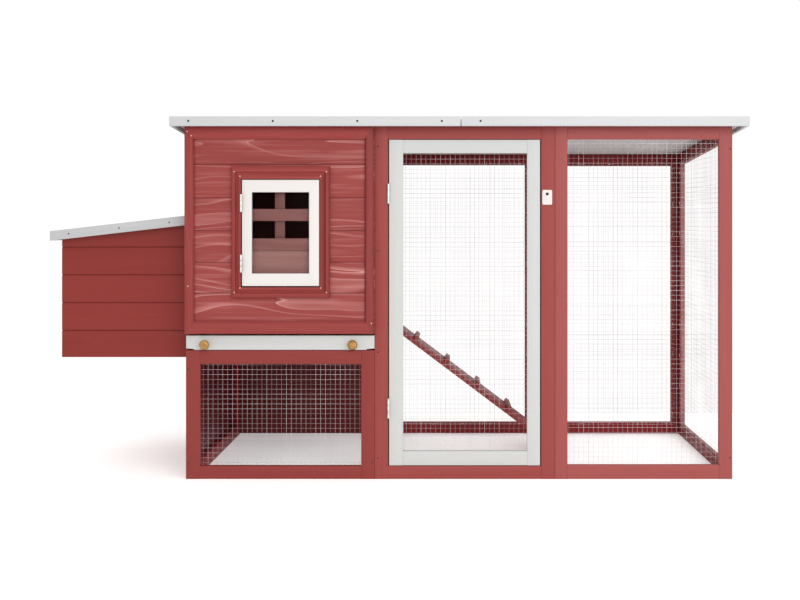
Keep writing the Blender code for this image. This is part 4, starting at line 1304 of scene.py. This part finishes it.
def roof_edging(node, side):
    """Three strips round one half of the roof. The long ones stop short at the roof's middle."""
    low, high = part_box(node)
    left = side == "left"
    start = low.x if left else low.x + ROOF_SEAM
    end = high.x - ROOF_SEAM if left else high.x
    top = sloping(node)
    parts = []
    for y in (low.y, high.y - EDGING_THICK):
        drop = EDGING_TALL / 2 + ROOF_SLOPE * EDGING_THICK / 2
        middle = Vector(((start + end) / 2, y + EDGING_THICK / 2, top(y) - drop))
        parts.append(board(X * (end - start), Z * (EDGING_TALL - 0.0004), Y * EDGING_THICK, middle))
    run = high.y - low.y - 2 * EDGING_THICK - 2 * JOINT
    face, outward = (low.x, -X) if left else (high.x, X)
    middle = Vector((face - outward.x * EDGING_THICK / 2, 0, (low.z + high.z) / 2))
    tall = ROOF_UP * EDGING_TALL / ROOF_STRETCH
    parts.append(board(ROOF_ALONG * run * ROOF_STRETCH, tall, X * EDGING_THICK, middle))
    stands_for(node + "_strips", merge(parts), EDGING_WHITE[side], node)

    places = spread_out(low.x + 0.054, high.x - 0.053, 4) if left else [low.x + 0.054]
    heads = [(x, low.y, high.z - EDGING_TALL / 2) for x in places]
    fasteners(node + "_screws_front", node, heads, -Y, "screw", 0.0030)
    places = spread_out(low.x + 0.053, high.x - 0.053, 4)
    heads = [(x, high.y, top(high.y) - 0.0128) for x in places]
    fasteners(node + "_screws_back", node, heads, Y, "screw", 0.0022)
    places = spread_out(low.y + 0.06, high.y - 0.06, 3)
    heads = [(face, y, (low.z + high.z) / 2 - ROOF_SLOPE * y) for y in places]
    fasteners(node + "_screws_end", node, heads, outward, "screw", 0.0022)


def roof():
    for side in ("left", "right"):
        roof_board("roof_board_" + side)
        roof_edging("roof_edging_" + side, side)


def nest_box():
    joints = [NEST_FIRST_JOINT + k * BOARD_PITCH for k in range(NEST_JOINTS)]
    for node, outward in (("nest_front", -1), ("nest_back", 1)):
        wall = cladding(node, joints, along_x(node, outward), top=sloping(node, -LID_SLOPE, 0))
        stands_for(node + "_boards", wall, NEST_SHADED_RED, node)
    node = "nest_end"
    wall = cladding(node, joints, along_y(node, -1))
    stands_for(node + "_boards", wall, NEST_SHADED_RED, node)
    plain_board("nest_floor", "x", SHADED_INNER_RED)
    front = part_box("nest_front")[0]
    heights = spread_out(front.z + 0.035, front.z + 0.30, 4)
    heads = [(front.x + 0.006, front.y, z) for z in heights]
    fasteners("nest_front_nails", "nest_front", heads, -Y, "nail", 0.0012)


def lid():
    spare = 0.01  # sloping boards start this much longer, and are cut upright at both ends
    low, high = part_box("lid_board")
    length = high.x - low.x
    thick = (high.z - low.z - LID_SLOPE * length) / LID_STRETCH
    cuts = [(Vector((high.x, 0, 0)), X), (Vector((low.x, 0, 0)), -X)]
    along = LID_ALONG * (length * LID_STRETCH + spare)
    covered_board("lid_board", along, Y * (high.y - low.y), LID_UP, thick, cuts)

    node = "lid_edging"
    low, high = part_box(node)
    middle = (low + high) / 2
    cuts = [(Vector((low.x, 0, 0)), -X), (Vector((high.x, 0, 0)), X)]
    along = LID_ALONG * ((high.x - low.x) * LID_STRETCH + spare)
    tall = LID_UP * EDGING_TALL / LID_STRETCH
    parts = []
    for y in (low.y + EDGING_THICK / 2, high.y - EDGING_THICK / 2):
        parts.append(board(along, tall, Y * EDGING_THICK, Vector((middle.x, y, middle.z)), cuts))

    def strip_middle(x):
        return low.z + EDGING_TALL / 2 + LID_SLOPE * (x - low.x)

    outer_x = low.x + EDGING_THICK / 2
    width = Y * (high.y - low.y - 2 * EDGING_THICK - 2 * JOINT)
    centre = Vector((outer_x, 0, strip_middle(outer_x)))
    parts.append(board(width, Z * EDGING_TALL, X * EDGING_THICK, centre))
    stands_for("lid_edging_strips", merge(parts), EDGING_WHITE["lid"], node)
    for face, outward, name in ((low.y, -Y, "front"), (high.y, Y, "back")):
        heads = [(x, face, strip_middle(x)) for x in spread_out(low.x + 0.054, high.x - 0.054, 3)]
        fasteners("lid_screws_" + name, node, heads, outward, "screw", 0.0022)
    heads = [(low.x, y, strip_middle(low.x)) for y in spread_out(-0.2, 0.2, 3)]
    fasteners("lid_screws_end", node, heads, -X, "screw", 0.0022)


def ramp():
    low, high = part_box("ramp_board")
    down = Vector((math.cos(RAMP_ANGLE), 0, -math.sin(RAMP_ANGLE)))
    up = Vector((math.sin(RAMP_ANGLE), 0, math.cos(RAMP_ANGLE)))
    thick = 0.012
    cleat_wide, cleat_thick = 0.014, 0.013
    top = Vector((low.x, (low.y + high.y) / 2, high.z))
    length = (high.x - low.x) / math.cos(RAMP_ANGLE)
    centre = top + down * length / 2 - up * thick / 2
    cuts = [(Vector((low.x, 0, 0)), -X), (Vector((high.x, 0, 0)), X), (Vector((0, 0, low.z)), -Z)]
    wide = Y * (high.y - low.y)
    bm = board(down * (length + 0.05), wide, up * thick, centre, cuts)
    stands_for("ramp_board_plank", bm, RAMP_RED, "ramp_board")
    heads = []
    for number in range(1, 5):
        node = f"ramp_cleat_{number}"
        low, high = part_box(node)
        middle = (low + high) / 2
        bm = board(wide, down * cleat_wide, up * cleat_thick, middle)
        stands_for(node + "_batten", bm, RAMP_RED, node)
        for y in (low.y + 0.02, high.y - 0.02):
            heads.append(Vector((middle.x, y, middle.z)) + up * cleat_thick / 2)
    fasteners("ramp_nails", "ramp_cleat_1", heads, up, "bright nail", 0.0016)


def front_frame_screws():
    low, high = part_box("door_bay_frame")
    places = [(low.x + 0.009, low.y, z) for z in (0.0585, 0.358, 0.6443, 0.9395)]
    low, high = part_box("right_front_frame")
    places += [(high.x - 0.0065, low.y, z) for z in (0.060, high.z - 0.0665)]
    low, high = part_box("lower_front_frame")
    places += [(low.x + 0.0076, low.y, z) for z in (0.043, high.z - 0.053)]
    places.append((high.x - 0.0062, low.y, 0.047))
    fasteners("front_frame_screws", "door_bay_frame", places, -Y, "screw", 0.0022)


def frame_screws():
    """The screws and nails that hold the panels to each other."""
    front_frame_screws()
    edge = 0.009  # from a panel's edge
    places = []
    for node in ("back_middle_frame", "back_right_frame"):
        low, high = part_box(node)
        for z in spread_out(0.06, high.z - 0.06, 4):
            places += [(x, high.y, z) for x in (low.x + edge, high.x - edge)]
    fasteners("back_frame_screws", node, places, Y, "screw", 0.0021)
    low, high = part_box("back_wall")
    heights = spread_out(0.05, high.z - 0.04, 12)
    places = [(x, high.y, z) for x in (low.x + edge, high.x - edge) for z in heights]
    fasteners("back_wall_nails", "back_wall", places, Y, "nail", 0.0016)
    low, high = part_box("right_side_frame")
    heights = spread_out(0.06, high.z - 0.10, 4)
    places = [(high.x, y, z) for y in (low.y + edge, high.y - edge) for z in heights]
    fasteners("side_frame_screws", "right_side_frame", places, X, "screw", 0.0021)
    low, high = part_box("left_wall")
    heights = spread_out(0.05, high.z - 0.09, 12)
    places = [(low.x, y, z) for y in (low.y + 0.012, high.y - 0.012) for z in heights]
    fasteners("left_wall_nails", "left_wall", places, -X, "nail", 0.0016)


def moulding_pins():
    """Small pale pin heads at the corners of the moulding and the casing."""
    node = "house_front_moulding"
    low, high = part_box(node)
    spots = [(low.x + 0.008, high.z - 0.018), (low.x + 0.020, high.z - 0.030)]
    spots += [(low.x + 0.010, 0.545), (high.x - 0.006, low.z + 0.030)]
    places = [(x, low.y, z) for x, z in spots]
    places += near_corners("window_casing", ((0.0095, 0.016), (0.0255, 0.0285)))
    fasteners("moulding_pins", node, places, -Y, "pin", 0.0018)


# ---------------------------------------------------------------- stage
def floor():
    bm = bmesh.new()
    bmesh.ops.create_grid(bm, x_segments=2, y_segments=2, size=1.0)
    bmesh.ops.scale(bm, vec=(*FLOOR_HALF, 1.0), verts=bm.verts)
    mesh = bpy.data.meshes.new("floor")
    bm.to_mesh(mesh)
    bm.free()
    mesh.materials.append(pale_floor())
    obj = bpy.data.objects.new("floor", mesh)
    obj.location = (0, FLOOR_BACK - FLOOR_HALF[1], -0.0005)
    bpy.context.scene.collection.objects.link(obj)


def area_light(name, place, target, size, power):
    light = bpy.data.lights.new(name, "AREA")
    light.shape = "RECTANGLE"
    light.size, light.size_y = size
    light.energy = power
    obj = bpy.data.objects.new(name, light)
    obj.location = place
    aim = Vector(target) - Vector(place)
    obj.rotation_euler = aim.to_track_quat("-Z", "Y").to_euler()
    bpy.context.scene.collection.objects.link(obj)


def lighting():
    world = bpy.data.worlds.new("studio")
    scene = bpy.context.scene
    scene.world = world
    world.use_nodes = True
    background = world.node_tree.nodes["Background"]
    background.inputs["Color"].default_value = (1.0, 1.0, 1.0, 1.0)
    background.inputs["Strength"].default_value = 1.03
    area_light("key", (1.4, -3.9, 1.9), (0.2, 0, 0.5), (3.4, 2.6), 86)
    scene.view_settings.view_transform = "Standard"
    scene.view_settings.look = "None"


def camera():
    lens = bpy.data.cameras.new("camera")
    lens.sensor_width = 36
    lens.lens = 46.2
    lens.shift_x = -0.0625
    lens.shift_y = -0.0975
    obj = bpy.data.objects.new("camera", lens)
    obj.location = (0.1557, -3.22, 0.7258)
    obj.rotation_euler = (math.pi / 2, 0, 0)
    bpy.context.scene.collection.objects.link(obj)
    bpy.context.scene.camera = obj


camera()
house_front()
window()
slat_nails()
edge_hinges("window", 0.0495, 0.0143)
tray()
walls()
frames()
door()
door_stops()
edge_hinges("door", 0.0556, 0.0173)
turn_button()
roof()
nest_box()
lid()
lid_hinges()
ramp()
frame_screws()
moulding_pins()
floor()
lighting()
